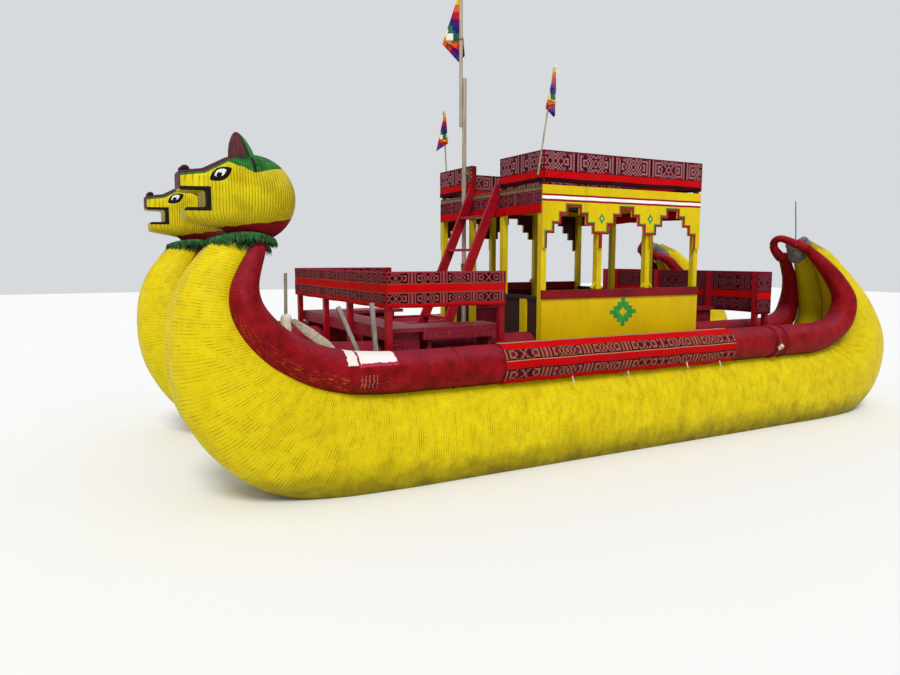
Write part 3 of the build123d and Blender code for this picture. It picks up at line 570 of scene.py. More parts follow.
def grid_piece(name, points, uv, material, slot, *replaced, thickness=0.0):
    """A grid primitive with its points put in place. points is rows x columns x 3, and uv its two
    coordinates, in what the material counts. Its first and last columns are joined; a cloth gets its
    thickness instead."""
    rows, columns = points.shape[:2]
    bpy.ops.object.select_all(action="DESELECT")
    bpy.ops.mesh.primitive_grid_add(x_subdivisions=columns - 1, y_subdivisions=rows - 1, size=1)
    piece = bpy.context.object
    piece.name = name
    mesh = piece.data
    mesh.vertices.foreach_set("co", points.reshape(-1))
    corner = np.empty(len(mesh.loops), dtype=np.int64)
    mesh.loops.foreach_get("vertex_index", corner)
    mesh.uv_layers[0].name = "UVMap"
    uv = np.stack([np.broadcast_to(part, (rows, columns)) for part in uv], axis=2)
    mesh.uv_layers[0].data.foreach_set("uv", uv.reshape(-1, 2)[corner].reshape(-1))
    mesh.update()
    if thickness:
        apply_modifier(piece, "SOLIDIFY", thickness=thickness, offset=0)
    else:
        edit_mesh(merge=0.00005)
    return finish_piece(piece, material, slot, *replaced)


def piece_from_faces(name, points, faces):
    """A new selected piece from its points and faces."""
    mesh = bpy.data.meshes.new(name)
    mesh.from_pydata([tuple(point) for point in points], [], faces)
    piece = bpy.data.objects.new(name, mesh)
    scene.collection.objects.link(piece)
    select_alone(piece)
    return piece


def smooth_rows(table):
    """A table's rows, with many smooth steps between them."""
    rows = np.array(table, dtype=float)
    fine = np.linspace(0, len(rows) - 1, 40 * len(rows))
    i = np.clip(fine.astype(int), 0, len(rows) - 2)
    u = (fine - i)[:, None]
    before, here, there, after = [rows[np.clip(i + step, 0, len(rows) - 1)] for step in (-1, 0, 1, 2)]
    return here + 0.5 * u * (there - before + u * (2 * before - 5 * here + 4 * there - after
                                                  + u * (3 * (here - there) + after - before)))


def path_length(points):
    """The distance along a path at each of its points."""
    return np.concatenate([[0], np.cumsum(np.linalg.norm(np.diff(points, axis=0), axis=1))])


def even_rows(stern, bow, count):
    """Sections from stern to bow at even steps along their path, and the path's length."""
    rows = np.concatenate([smooth_rows(stern), smooth_rows(bow)])
    distance = path_length(rows[:, :2])
    at = np.linspace(0, distance[-1], count)
    return np.stack([np.interp(at, distance, column) for column in rows.T], axis=1), distance[-1]


def soft_noise(rows, columns, across, along, seed):
    """Smooth random numbers from -1 to 1: across lumps round the columns, where they repeat, and along
    lumps along the rows."""
    source = np.random.default_rng(seed)
    coarse = source.uniform(-1, 1, (along + 3, across))
    r = np.linspace(0, along, rows)
    c = np.linspace(0, across, columns)
    ri, ci = r.astype(int), c.astype(int)
    ru, cu = (r - ri)[:, None], (c - ci)[None, :]
    ru, cu = ru * ru * (3 - 2 * ru), cu * cu * (3 - 2 * cu)
    first, second = [coarse[row][:, ci % across] * (1 - cu) + coarse[row][:, (ci + 1) % across] * cu
                     for row in (ri, ri + 1)]
    return first * (1 - ru) + second * ru


def columns_round(count):
    """Angles once round a section, one for each column."""
    return np.linspace(0, 2 * math.pi, count)[None, :]


def rows_along(first, last, count):
    """Even steps from first to last, one for each row."""
    return np.linspace(first, last, count)[:, None]


def stack(*parts):
    """The points whose coordinates are these parts, spread over rows and columns."""
    return np.stack(np.broadcast_arrays(*parts), axis=2)


def close_ends(points):
    """Draws the first and last rows of points together."""
    for end in (0, -1):
        points[end] = points[end].mean(axis=0)
    return points


# The reed hulls

def reed_bundle(lobe, side):
    """One half of a hull, bound with cord, so its rows stand in and out by turns. lobe is 1 for the outer
    bundle and -1 for the inner, side 1 for port and -1 for starboard."""
    sections, _ = even_rows(BUNDLE_STERN, BUNDLE_BOW, 2 * round(BUNDLE_LENGTH / BINDING) + 1)
    rows, columns = len(sections), 45
    turn = columns_round(columns)
    x, z, heading, depth, width, offset = sections.T[:, :, None]
    seed = 10 + 2 * (lobe > 0) + (side > 0)
    in_and_out = np.where(np.arange(rows) % 2 == 0, -0.0022, 0.0016)[:, None]
    swell = in_and_out + 0.004 * soft_noise(rows, columns, 7, 30, seed) - 0.002
    across = np.maximum(offset + (width + swell) * np.cos(turn), 0.0)
    up = (depth + swell) * np.sin(turn)
    drift = 0.009 * soft_noise(rows, columns, 5, 60, seed + 40)
    angle = np.radians(heading)
    if lobe < 0:        # the inner bundle is fuller in the hollow of the stern's curl
        fuller = np.where(x < -3.0, np.interp(z, [0.8, 1.2, 2.1, 2.3], [0, 1, 1, 0]), 0)
        up = up + 0.055 * fuller * np.maximum(np.sin(turn), 0)
    px = x - np.sin(angle) * up + np.cos(angle) * drift
    pz = z + np.cos(angle) * up + np.sin(angle) * drift
    # the side deck lies in a seat cut into the tops of the bundles
    y = HULL_CENTRE + lobe * across
    under = ((px > DECK_LOW.x - 0.02) & (px < DECK_HIGH.x + 0.02)
             & (y > SEAT_INNER - 0.1) & (y < SEAT_OUTER + 0.1))
    pz = np.where(under, np.minimum(pz, SIDE_DECK_LOW.z - 0.004), pz)
    place = f"{LOBES[lobe]}_{SIDES[side]}"
    bindings = rows_along(0, (rows - 1) / 2, rows)
    grid_piece(f"bound_reed_{place}", close_ends(stack(px, side * y, pz)), (turn * 0.48, bindings),
               REED, "reed", f"bundle_{place}")


def gunwale_roll(lobe, side):
    """One roll, wound with cord, with the slight lumps of its filling."""
    sections, length = even_rows([ROLL_TIPS[lobe]] + ROLL_STERN, ROLL_BOW, 330)
    rows, columns = len(sections), 41
    turn = columns_round(columns)
    x, z, heading, radius, outer, inner = sections.T[:, :, None]
    lumps = 0.004 * soft_noise(rows, columns, 6, 26, 70 + 2 * (lobe > 0) + (side > 0)) - 0.004
    reach = outer if lobe > 0 else inner
    if lobe < 0:        # up the stern the inner roll is a little thinner and stands further forward
        curl = np.where(x < -3.0, np.interp(z, [1.1, 1.4, 1.95, 2.16], [0, 1, 1, 0]), 0)
        x, radius = x + 0.040 * curl, radius * (1 - 0.16 * curl)
    angle = np.radians(heading)
    up = (radius + lumps) * np.sin(turn)
    y = HULL_CENTRE + lobe * reach + (radius + lumps) * np.cos(turn)
    points = close_ends(stack(x - np.sin(angle) * up, side * y, z + np.cos(angle) * up))
    place = f"{LOBES[lobe]}_{SIDES[side]}"
    return grid_piece(f"wound_roll_{place}", points, (turn * 0.2, rows_along(0, length / WINDING, rows)),
                      CRIMSON, "roll", f"roll_{place}")


def wound_tube(name, path, radii, seed, material, slot, *replaced, columns=11, winding=0.02):
    """A wound tube through given points, with closed ends. winding is the step from turn to turn."""
    path, radii = smooth_rows(path), smooth_rows([[r, 0.0] for r in radii])[:, 0]
    distance = path_length(path)
    rows = max(12, int(distance[-1] / 0.015))
    at = np.linspace(0, distance[-1], rows)
    centre = np.stack([np.interp(at, distance, column) for column in path.T], axis=1)
    radius = np.interp(at, distance, radii)
    ahead = np.gradient(centre, axis=0)
    ahead /= np.linalg.norm(ahead, axis=1)[:, None]
    side = np.cross(ahead, [0.31, 0.12, 0.94])      # no tube here runs that way
    side /= np.linalg.norm(side, axis=1)[:, None]
    up = np.cross(side, ahead)
    turn = columns_round(columns)
    lumps = 1 + 0.04 * soft_noise(rows, columns, 5, max(3, rows // 8), seed)
    ring = (radius[:, None] * lumps)[:, :, None]
    points = centre[:, None, :] + ring * (np.cos(turn)[:, :, None] * side[:, None, :]
                                          + np.sin(turn)[:, :, None] * up[:, None, :])
    points[0], points[-1] = centre[0], centre[-1]
    return grid_piece(name, points, (turn * float(radius.mean()), at[:, None] / winding),
                      material, slot, *replaced)


def stern_loop(side):
    """The two rolls of a hull are drawn together over the stern's tips by a thinner bent roll."""
    path = [(-3.060, 1.160, 2.110), (-2.960, 1.165, 2.170), (-2.885, 1.172, 2.235), (-2.857, 1.180, 2.300),
            (-2.855, 1.212, 2.348), (-2.868, 1.270, 2.368), (-2.914, 1.340, 2.345), (-2.960, 1.420, 2.300),
            (-3.010, 1.495, 2.262), (-3.060, 1.540, 2.225)]
    thick = [0.066, 0.062, 0.054, 0.050, 0.048, 0.047, 0.050, 0.055, 0.060, 0.064]
    wound_tube(f"stern_loop_{SIDES[side]}", [(x, side * y, z) for x, y, z in path], thick, 5 + side,
               CRIMSON, "roll", "stern_loops", columns=19, winding=WINDING)


def tip_wrap(lobe, side):
    """Strips of cloth wound round the tip of a bundle. Those of the inner bundle are thicker, reach further
    down and have slipped forward."""
    x, z, heading, _, _, offset = BUNDLE_STERN[0]
    slip, size, down = (0.045, 1.25, 0.22) if lobe < 0 else (0.0, 1.0, 0.05)
    spread = side * lobe * 0.14     # how fast the bundle moves sideways below its tip
    out = Vector((-math.cos(math.radians(heading)), 0, -math.sin(math.radians(heading))))
    tip = Vector((x + slip, side * (HULL_CENTRE + lobe * offset), z - 1.1 * slip))
    path = [list(tip + out * t + Vector((0, spread * max(-t, 0), 0)))
            for t in (-down, -0.6 * down, -0.2 * down, 0.02, 0.06, 0.09, 0.105)]
    thick = (0.060 + 0.1 * down, 0.066 + 0.12 * down, 0.067 + 0.05 * down, 0.065, 0.060, 0.050, 0.030)
    wound_tube(f"tip_wrap_{LOBES[lobe]}_{SIDES[side]}", path, [size * r for r in thick], 11,
               WRAP, "wrap", "tip_wraps", columns=25)


def cloth_knot(name, centre, size, material, slot):
    """A strip of cloth knotted on itself: a crossed loop and two short ends."""
    turns = ((1.5, 0.4, -1.3), (0.7, 0.3, -0.3), (-0.3, 0.2, 0.5), (-0.9, -0.5, 0.3), (-0.3, -0.8, -0.4),
             (0.6, -0.3, -0.3), (0.6, 0.6, 0.3), (-0.2, 0.8, 0.1), (-0.7, 0.1, -0.5), (-0.6, -0.9, -1.4))
    thick = (0.10, 0.28, 0.36, 0.36, 0.34, 0.34, 0.36, 0.34, 0.28, 0.10)
    wound_tube(name, np.array(centre) + size * np.array(turns), [size * t for t in thick], 31, material, slot,
               columns=13, winding=0.01)


# Cloth

def cloth(name, points, uv, material, slot, flat, held, rests_on, *replaced):
    """A sheet of cloth, with its thickness. flat, the size it was cut to, is not used."""
    piece = grid_piece(name, points, uv, material, slot, *replaced, thickness=CLOTH)


def sleeve(side, roll):
    """Woven cloth over the outer roll beside the cabin, from its inner side over the top to its lower
    edge."""
    high, low = math.radians(112), math.radians(-62)
    rows, columns = 220, 41
    x = rows_along(SLEEVE_REAR, SLEEVE_FRONT, rows)
    turn = np.linspace(high, low, columns)[None, :]
    wave = soft_noise(rows, columns, 4, 26, 300 + side)
    hem = np.linspace(0, 1, columns)[None, :] ** 4
    turn = turn + hem * 0.07 * (np.sin(x * 9.0) + soft_noise(rows, columns, 3, 40, 301 + side))
    reach = ROLL_RADIUS + 0.006 + 0.0025 * wave + hem * 0.004
    points = stack(x, side * (ROLL_Y + reach * np.cos(turn)), ROLL_Z + reach * np.sin(turn))
    width = (high - low) * (ROLL_RADIUS + 0.006)
    cloth(f"roll_sleeve_{SIDES[side]}", points, (x, np.linspace(0, width, columns)), SLEEVE, "textile",
          (SLEEVE_FRONT - SLEEVE_REAR, width), "laid", [roll], "roll_covers")


def board_cloth(name, board, start, end, thick, material, slot, seed):
    """Cloth stretched over a board: up its outer face, over the top and down the inner face. start and end
    are the outer face's ends in plan, thick the board's thickness towards its inner side. V counts metres
    from the top."""
    low, high = (corner.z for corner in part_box(board))
    start, end = Vector((*start, 0)), Vector((*end, 0))
    run = end - start
    inward = Vector((-run.y, run.x, 0)).normalized()
    rows = max(24, int(run.length / 0.03))
    height = high - low
    gap = 0.003
    steps = [k / 14 for k in range(15)]
    profile = [(-gap, low + height * t, height * (1 - t)) for t in steps]
    profile += [(-gap * 0.7, high + gap * 0.7, 0.0), (thick + gap * 0.7, high + gap * 0.7, 0.0)]
    profile += [(thick + gap, high - height * t, height * t) for t in steps]
    depth, z, from_top = np.array(profile).T[:, None, :]
    columns = len(profile)
    u = rows_along(0, 1, rows)
    wave = soft_noise(rows, columns, 6, max(3, rows // 6), seed)
    sag = 0.004 * np.sin(u * run.length * 7 + seed) * (from_top / height) ** 3
    away = depth + 0.0022 * (1 + wave) * np.where(np.arange(columns) < columns // 2, -1, 1)
    points = stack(start.x + run.x * u + inward.x * away, start.y + run.y * u + inward.y * away, z + sag)
    cloth(name, points, (u * run.length, from_top), material, slot,
          (run.length, height * 2 + thick + 4 * gap), "stretched", [board])


def valance(name, x, face):
    """Cloth hung from the roof's edge, gathered a little, with a hem that sags between its ties."""
    half, top, depth = 1.18, 2.842, 0.252
    y = rows_along(-half, half, 200)
    drop = np.linspace(0, 1, 17)[None, :]
    gathers = 0.0045 * np.sin(y * 41 + 1.3 * np.sin(y * 5)) * drop
    scallop = 0.010 * np.abs(np.sin(y * 5.4 + 0.4)) * drop
    points = stack(x + face * (0.007 + gathers), y, top - drop * (depth - 0.010) - scallop)
    cloth(name, points, (y, drop * depth), VALANCE_CLOTH, "valance",
          (2 * half, depth), "hung", ["roof_boards"], "valances")


def flag(name, top, side, swings, step, material, node, pole):
    """A square flag that hangs limp from the top corner of its staff edge. Its folds run out from that
    corner, like a fan's, so the cloth doesn't stretch. swings are how far the folds swing forward of the
    staff, in radians, and step is how far each fold lies behind the one before."""
    # level directions: to the left and away, as the photo shows the boat
    ahead, behind = np.array((0.879, -0.476, 0)), np.array((-0.476, -0.879, 0))
    turns = [(0.0, 0.0)]
    for swing in swings:
        turned = swing - math.copysign(0.012, swing - turns[-1][0])
        turns += [(turned, turns[-1][1]), (turned, turns[-1][1] + step)]
    fan = smooth_rows(turns)
    distance = path_length(fan)
    # from the staff edge to the top edge, with a column on the diagonal; the folds take up all of the
    # right angle
    across = np.concatenate([np.linspace(0, math.pi / 4, 81), np.linspace(math.pi / 4, math.pi / 2, 81)[1:]])
    scale = (math.pi / 2) / distance[-1]
    p, q = [scale * np.interp(across / scale, distance, column) for column in fan.T]
    tilt = np.maximum(np.hypot(p, q), 1e-6)
    r = rows_along(0.01, 1, 40) * (side / np.maximum(np.cos(across), np.sin(across)))
    level = (np.sin(tilt) / tilt)[:, None] * (p[:, None] * ahead + q[:, None] * behind)
    points = np.array(top) + r[:, :, None] * (level - np.cos(tilt)[:, None] * np.array([0, 0, 1]))
    uv = (r * np.sin(across), r * np.cos(across))
    cloth(name, points, uv, material, "flag", (side, side), "hung", [pole], node)


# Heads and collars

def node_copy(node, name):
    """A selected copy of a CAD node with its own mesh, its faces joined up."""
    piece = nodes[node].copy()
    piece.data = piece.data.copy()
    piece.name = name
    for key in [k for k in piece.keys() if k.startswith("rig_")]:
        del piece[key]
    scene.collection.objects.link(piece)
    select_alone(piece)
    edit_mesh(merge=0.0001, outward=False)
    return piece


def reed_head(side):
    """A head rounded over from its CAD solid: joined up, remeshed in 9 mm cells and smoothed, so the face
    runs into the skull as bound reed does."""
    piece = node_copy(f"head_{SIDES[side]}", f"reed_head_{SIDES[side]}")
    apply_modifier(piece, "REMESH", mode="VOXEL", voxel_size=0.009)
    apply_modifier(piece, "SMOOTH", iterations=9)
    finish_piece(piece, HEAD, "head", f"head_{SIDES[side]}")


def nose_knob(side, way):
    """A small bound knob for a nostril, on top of the nose."""
    bpy.ops.object.select_all(action="DESELECT")
    bpy.ops.mesh.primitive_uv_sphere_add(segments=20, ring_count=12, radius=0.030,
                                         location=(4.684, side * HULL_CENTRE + way * 0.070, 2.826))
    knob = bpy.context.object
    knob.name = f"nose_knob_{SIDES[side]}_{0 if way > 0 else 1}"
    knob.scale = (1.15, 0.9, 0.85)
    bpy.ops.object.transform_apply(location=True, rotation=True, scale=True)
    finish_piece(knob, KNOB, "ear")


def reed_ear(side, way):
    """A broad, pointed, cupped ear of bound reed, hollow towards the front, its tip over its front edge.
    The one on the hull's outer side is broader and stands further forward."""
    half, back = (0.140, 0.0) if way == side else (0.112, 0.035)
    t, turn = rows_along(0, 1, 30), columns_round(33)
    half = half * (1 - t) ** 0.62 * (0.92 + 0.30 * t)
    across = -half * np.cos(turn)
    outward = (0.020 * (1 - 0.75 * t) * np.sin(turn)
               + 0.045 * (1 - t) * (across / np.maximum(half, 0.001)) ** 2)
    rise = EAR_TIP - EAR_ROOT
    x = EAR_ROOT.x + rise.x * t ** 1.25 + across - back
    y = EAR_ROOT.y + rise.y * t + outward
    z = EAR_ROOT.z + rise.z * t - 0.22 * np.maximum(-across, 0) * (1 - t) + 0.0012 * np.cos(turn * 14)
    points = close_ends(stack(x, side * HULL_CENTRE + way * y, z))
    points[0] -= [0, 0, 0.03]       # the root goes down into the skull
    grid_piece(f"reed_ear_{SIDES[side]}_{LOBES[way * side]}", points, (turn / (2 * math.pi), t),
               EAR, "ear", "ears")


def collar_fringe(side, tier, radius, low, high, reach):
    """Blades of dyed reed tied in a ring round the neck, that stand out and bend down. Each blade is a
    bent, pointed strip. The ring lies lower at its front and back."""
    source = random.Random(20 + side + 5 * tier)
    count = 380
    centre = Vector((COLLAR_X, side * HULL_CENTRE, 0))
    points, faces = [], []
    for i in range(count):
        turn = 2 * math.pi * (i + source.uniform(-0.4, 0.4)) / count
        root_z = source.uniform(low + 0.5 * (high - low), high) - 0.055 * math.cos(turn) ** 2
        length = reach * source.uniform(0.6, 1.1)
        lift = source.uniform(-0.2, 0.5)
        half = source.uniform(0.006, 0.011)
        out = Vector((math.cos(turn), math.sin(turn), 0))
        wide = Vector((-math.sin(turn), math.cos(turn), 0))
        lean = source.uniform(-0.35, 0.35)
        base = len(points)
        for k in range(5):
            t = k / 4
            r = radius - 0.02 + length * (0.45 * t + 0.18 * math.sin(t * math.pi))
            z = root_z + length * (lift * 0.25 * t - 0.85 * t * t)
            here = centre + out * r + Vector((0, 0, z)) + wide * (lean * length * t)
            taper = half * (1 - 0.85 * t * t)
            crown = out * (0.004 * (1 - t))
            points += [here - wide * taper, here + crown, here + wide * taper, here - crown]
            if k:
                b = base + 4 * k
                faces += [(b - 4 + a, b - 4 + c, b + c, b + a) for a, c in ((0, 1), (1, 2), (2, 3), (3, 0))]
        faces += [(base + 3, base + 2, base + 1, base), (base + 16, base + 17, base + 18, base + 19)]
    piece = piece_from_faces(f"collar_fringe_{SIDES[side]}_{tier}", points, faces)
    edit_mesh()
    finish_piece(piece, FRINGE, "collar", "collars")


def collar(side):
    """Three tiers of fringe, the braid that they are tied with, and the braid's loose end behind the neck."""
    for tier, sizes in enumerate(((0.262, 2.255, 2.325, 0.075), (0.225, 2.205, 2.260, 0.085),
                                  (0.290, 2.245, 2.300, 0.060))):
        collar_fringe(side, tier, *sizes)
    y = side * HULL_CENTRE
    ring = [(COLLAR_X + 0.272 * math.cos(a), y + 0.262 * math.sin(a), 2.268 - 0.028 * math.cos(2 * a))
            for a in np.linspace(0.2, 2 * math.pi + 0.1, 22)]
    wound_tube(f"collar_braid_{SIDES[side]}", ring, [0.022] * 22, 50 + side, FRINGE, "collar", columns=15)
    tuft = [(3.995, y, 2.242), (3.960, y + side * 0.01, 2.226), (3.932, y + side * 0.02, 2.196)]
    wound_tube(f"collar_tuft_{SIDES[side]}", tuft, [0.026, 0.022, 0.004], 52 + side, FRINGE, "collar")


# Small forms

def arch_outline():
    """The thin green line painted outside the arches' edging: a copy of the edging whose outer sides are
    moved 14 mm away from their arch, 2 mm behind the edging's face."""
    piece = node_copy("arch_edgings", "arch_outlines")
    vertices = piece.data.vertices
    for vertex in vertices:
        bay = min(BAYS, key=lambda centre: abs(vertex.co.x - centre))
        away = Vector((vertex.co.x - bay, 0, vertex.co.z - 2.15))
        facing = Vector((vertex.normal.x, 0, vertex.normal.z))
        if facing.length > 0.1 and facing.dot(away) > 0:
            vertex.co += facing.normalized() * 0.014
    depths = [abs(vertex.co.y) for vertex in vertices]
    middle = (min(depths) + max(depths)) / 2
    for vertex in vertices:
        if abs(vertex.co.y) > middle:
            vertex.co.y -= math.copysign(0.002, vertex.co.y)
    finish_piece(piece, GREEN_PAINT, "sill", smooth=False)


def paddle_blade():
    """A board paddle across the port hull, its blade on the inner roll and its grip between the rolls."""
    tip, foot = Vector((3.737, 1.050, 1.528)), Vector((3.405, 1.450, 1.219))
    along = (foot - tip).normalized()
    wide = along.cross(Vector((0.35, 0.9, 0.2))).normalized()
    up = wide.cross(along).normalized()
    t, turn = rows_along(0, 1, 40), columns_round(17)
    half = np.interp(t, [0, 0.04, 0.35, 0.75, 0.9, 1], [0.010, 0.026, 0.046, 0.044, 0.020, 0.016])
    thick = np.interp(t, [0, 0.04, 0.8, 1], [0.004, 0.009, 0.011, 0.014])
    points = np.array(tip)
    for way, reach in ((along, t * (foot - tip).length), (wide, half * np.cos(turn)),
                       (up, thick * np.sin(turn))):
        points = points + reach[:, :, None] * np.array(way)
    grid_piece("paddle_board", close_ends(points), (turn, t), PADDLE, "stick", "paddle")


def stepped_cross(name, x, z, width, height, y, material, slot, thickness=0.003):
    """A stepped cross painted thick on a wall: the cells of a 7 x 7 grid within three steps of its middle."""
    places, faces = {}, []
    for i in range(-3, 4):
        for j in range(abs(i) - 3, 4 - abs(i)):
            faces.append([places.setdefault(key, len(places))
                          for key in ((i, j), (i + 1, j), (i + 1, j + 1), (i, j + 1))])
    points = [(x + (i - 0.5) * width / 7, y, z + (j - 0.5) * height / 7) for i, j in places]
    piece = piece_from_faces(name, points, faces)
    apply_modifier(piece, "SOLIDIFY", thickness=2 * thickness, offset=0)
    edit_mesh()
    finish_piece(piece, material, slot, smooth=False)


def lashing(name, centre, radius, axis, turns, cord, material, slot="wrap"):
    """Turns of cord round a pole or a roll: a ring for each turn, copied along the axis and joined."""
    rings = []
    for i in range(turns):
        bpy.ops.object.select_all(action="DESELECT")
        bpy.ops.mesh.primitive_torus_add(major_radius=radius, minor_radius=cord,
                                         major_segments=36, minor_segments=8)
        ring = bpy.context.object
        tilt = 0.06 * (-1) ** i
        ring.rotation_euler = {"X": (0, math.radians(90), tilt), "Z": (tilt, 0, 0)}[axis]
        ring.location = Vector(centre) + Vector([(i - (turns - 1) / 2) * 1.9 * cord * (axis == a)
                                                 for a in "XYZ"])
        bpy.ops.object.transform_apply(location=True, rotation=True, scale=True)
        rings.append(ring)
    bpy.ops.object.select_all(action="DESELECT")
    for ring in rings:
        ring.select_set(True)
    bpy.context.view_layer.objects.active = rings[0]
    if turns > 1:
        bpy.ops.object.join()
    rings[0].name = name
    finish_piece(rings[0], material, slot)


def foot_brace(side, bay, x, way):
    """A short board set on the slant at the foot of a post between two windows."""
    bpy.ops.object.select_all(action="DESELECT")
    bpy.ops.mesh.primitive_cube_add(size=1, location=(x + way * 0.045, side * 1.165, 1.795))
    brace = bpy.context.object
    brace.name = f"post_foot_brace_{SIDES[side]}_{bay}_{'fore' if way > 0 else 'aft'}"
    brace.scale = (0.100, 0.022, 0.022)
    brace.rotation_euler = (0, way * math.radians(45), 0)
    bpy.ops.object.transform_apply(location=True, rotation=True, scale=True)
    finish_piece(brace, YELLOW_RAIL, "post_yellow", smooth=False)


# The boat

for side in SIDES:
    for lobe in LOBES:
        reed_bundle(lobe, side)
        roll = gunwale_roll(lobe, side)
        if lobe > 0:
            sleeve(side, roll)
    stern_loop(side)
    reed_head(side)
    for way in (1, -1):
        nose_knob(side, way)
    for way in (1, -1):
        reed_ear(side, way)
    collar(side)
    for lobe in LOBES:
        tip_wrap(lobe, side)

# Cloth on the rails and round the roof, by the board that it lies on and the ends of that board's outer face
bow_low, bow_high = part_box("rail_panel_bow")
side_low, side_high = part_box("rail_panels_side")
rear_low, rear_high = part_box("rail_panel_rear")
rim_low, rim_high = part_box("parapet_sides")
front_low, front_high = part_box("parapet_front")
back_low, back_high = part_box("parapet_rear")
CLOTHS = {"rail": (RAIL_CLOTH, "band"), "rear": (REAR_CLOTH, "band_rear"), "parapet": (PARAPET_CLOTH, "band")}
for seed, (name, board, start, end) in enumerate((
        ("rail_cloth_bow", "rail_panel_bow", (bow_high.x, bow_low.y), (bow_high.x, bow_high.y)),
        ("rail_cloth_port", "rail_panels_side", (side_high.x, side_high.y), (side_low.x, side_high.y)),
        ("rail_cloth_starboard", "rail_panels_side", (side_low.x, side_low.y), (side_high.x, side_low.y)),
        ("rear_cloth", "rail_panel_rear", (rear_low.x, rear_high.y), (rear_low.x, rear_low.y)),
        ("rear_cloth_port", "rail_panel_rear", (rear_high.x, rear_high.y), (rear_low.x + BOARD, rear_high.y)),
        ("rear_cloth_starboard", "rail_panel_rear", (rear_low.x + BOARD, rear_low.y),
         (rear_high.x, rear_low.y)),
        ("parapet_cloth_port", "parapet_sides", (rim_high.x, rim_high.y), (rim_low.x, rim_high.y)),
        ("parapet_cloth_starboard", "parapet_sides", (rim_low.x, rim_low.y), (rim_high.x, rim_low.y)),
        ("parapet_cloth_front_port", "parapet_front", (front_high.x, GATE), (front_high.x, front_high.y)),
        ("parapet_cloth_front_starboard", "parapet_front", (front_high.x, front_low.y),
         (front_high.x, -GATE)),
        ("parapet_cloth_rear", "parapet_rear", (back_low.x, back_high.y), (back_low.x, back_low.y))), 1):
    material, slot = CLOTHS[name.split("_")[0]]
    board_cloth(name, board, start, end, SHEET if board == "parapet_sides" else BOARD, material, slot, seed)
valance("valance_front", 0.983, 1)
valance("valance_rear", -1.419, -1)

# Flags
upper_low, upper_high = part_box("mast_upper")
upper_x, upper_y = (upper_low.x + upper_high.x) / 2, (upper_low.y + upper_high.y) / 2
flag("flag_cloth_large", (upper_x, upper_low.y - 0.006, upper_high.z - 0.015), LARGE_FLAG,
     (0.32, -0.06, 0.36, -0.08), 0.035, LARGE_CHEQUER, "flag_large", "mast_upper")
flag("flag_cloth_port", (0.822, 1.176, 4.205), SMALL_FLAG, (0.20, 0.02, 0.24, 0.03, 0.22, 0.02, 0.20, 0.04),
     -0.030, SMALL_CHEQUER, "flag_small_port", "flag_sticks")
flag("flag_cloth_starboard", (0.925, -1.164, 4.130), SMALL_FLAG, (0.24, -0.08, 0.26, -0.07, 0.22, -0.04),
     -0.030, SMALL_CHEQUER, "flag_small_starboard", "flag_sticks")
for i, below in enumerate((0.03, 0.61)):
    lashing(f"flag_tie_{i}", (upper_x, upper_y, upper_high.z - below),
            (upper_high.y - upper_low.y) / 2 + 0.003, "Z", 2, 0.005, WRAP)

# Crosses on the cabin's sides, each with a heart of another colour
for side, which in SIDES.items():
    y, heart_y = side * CABIN_SIDE, side * (CABIN_SIDE + 0.003)
    for i, (x, z) in enumerate(((0.158, 2.553), (-0.585, 2.568))):
        stepped_cross(f"cross_small_{which}_{i}", x, z, 0.085, 0.115, y, GREEN_PAINT, "wall")
        stepped_cross(f"cross_small_heart_{which}_{i}", x, z, 0.026, 0.034, heart_y, TAPE, "wall", 0.001)
    stepped_cross(f"cross_large_{which}", -0.197, 1.475, 0.40, 0.33, y, GREEN_PAINT, "lower_wall")
    stepped_cross(f"cross_large_heart_{which}", -0.197, 1.475, 0.13, 0.10, heart_y, YELLOW,
                  "lower_wall", 0.001)
arch_outline()

# Cords, knots and small things
mast_low, mast_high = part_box("mast_lower")
mast_x, mast_y = (mast_low.x + mast_high.x) / 2, (mast_low.y + mast_high.y) / 2
mast_radius = (mast_high.y - mast_low.y) / 2
for name, x, radius, turns, cord, material, slot in (
        ("roll_cord_port_0", -2.22, 0.201, 2, 0.0035, MAROON, "roll"),
        ("roll_cord_port_1", -2.02, 0.201, 2, 0.0035, MAROON, "roll"),
        ("roll_cord_port_bow", 2.42, 0.199, 1, 0.004, MAROON, "roll"),
        ("mooring_turns", -2.075, 0.203, 2, 0.004, RED_CLOTH, "wrap")):
    lashing(name, (x, ROLL_Y, ROLL_Z), radius, "X", turns, cord, material, slot)
for i, z in enumerate((1.09, 1.99, 2.66)):
    lashing(f"mast_lashing_{i}", (mast_x, mast_y, z), mast_radius + 0.004, "Z", 6, 0.008, WRAP)
cloth_knot("mooring_knot", (-2.060, 1.955, 1.035), 0.036, ROPE, "wrap")
cloth_knot("stern_knot", (-2.985, 1.450, 2.325), 0.050, RED_CLOTH, "roll")
rod = [(-3.165, 1.290, 2.260), (-3.155, 1.288, 2.450), (-3.140, 1.284, 2.680), (-3.128, 1.280, 2.880)]
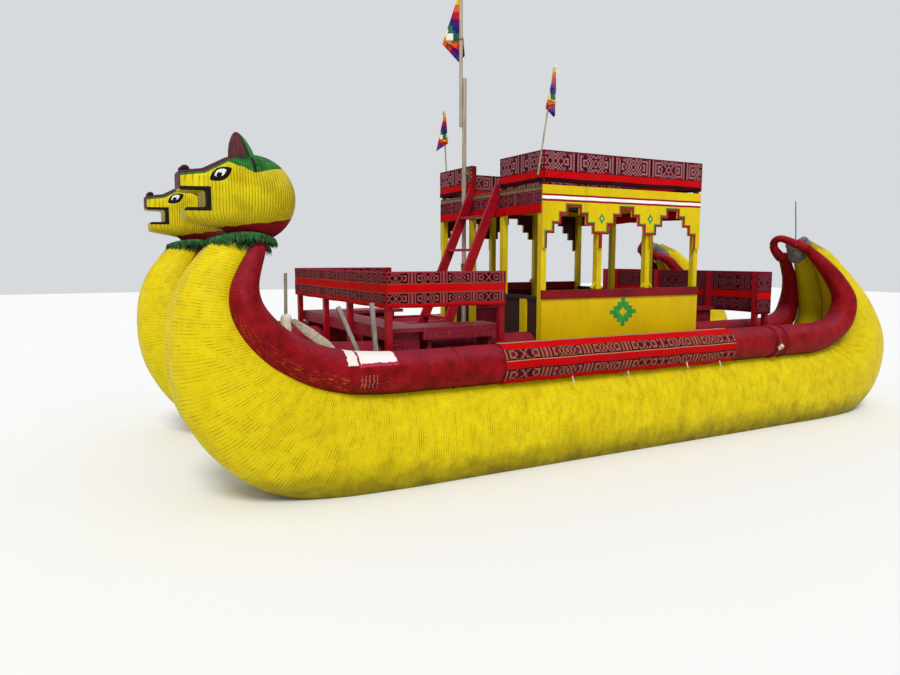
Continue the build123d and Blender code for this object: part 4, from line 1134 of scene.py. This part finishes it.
wound_tube("steel_rod", rod, [0.007, 0.007, 0.007, 0.006], 41, STEEL, "rod", "stern_rod")
for i, (x, z) in enumerate(((1.091, 0.870), (-0.517, 0.905), (0.35, 0.868), (-1.05, 0.880))):
    string = [(x, 1.905, z + 0.045), (x + 0.006, 1.925, z + 0.010), (x - 0.010, 1.930, z - 0.035)]
    wound_tube(f"sleeve_tie_{i}", string, [0.006, 0.006, 0.004], 60 + i, ROPE, "wrap", columns=9)
stake_cloth = [(3.838, 1.200, 1.395), (3.834, 1.200, 1.450), (3.836, 1.205, 1.510), (3.830, 1.200, 1.565),
               (3.832, 1.196, 1.600)]
wound_tube("stake_cloth", stake_cloth, [0.030, 0.052, 0.046, 0.050, 0.028], 77, TAPE, "wrap", columns=17)
paddle_blade()
for side in SIDES:
    for bay, x in enumerate((0.185, -0.585)):
        for way in (1, -1):
            foot_brace(side, bay, x, way)


# Materials of the CAD nodes; those that aren't named here are red

DRESSED = {name: material for material, names in (
    (ARCADE, "arcade_port arcade_starboard"), (LOWER, "lower_walls"), (DARK_BOARD, "cross_walls"),
    (BENCH, "bench_bow bench_rear benches_side cabin_seats"),
    (YELLOW, "cabin_posts cross_uprights post_capitals"), (YELLOW_RAIL, "roof_plates"),
    (BEAM, "cross_beams deck_joists mast_blocks roof_beams"), (ROOF, "roof_boards"),
    (DECKING, "deck_boards side_decks"), (POLE, "mast_lower mast_upper"), (STICK, "flag_sticks"),
    (STAKE, "stakes"),
    (MAROON, "parapet_front parapet_posts parapet_rear parapet_sides rail_panel_rear sills"),
    (EAR, "ears"), (PADDLE, "paddle"), (STEEL, "stern_rod")) for name in names.split()}
for name, node in nodes.items():
    node.data.materials.clear()
    node.data.materials.append(DRESSED.get(name, RED))

bpy.ops.object.select_all(action="DESELECT")
bpy.ops.mesh.primitive_plane_add(size=80, location=(0, 0, 0))
floor = bpy.context.object
floor.name = "floor"
floor.data.materials.append(begin("pale_studio_floor", 0.8, Base_Color=linear("#E4E6E8"))[0])
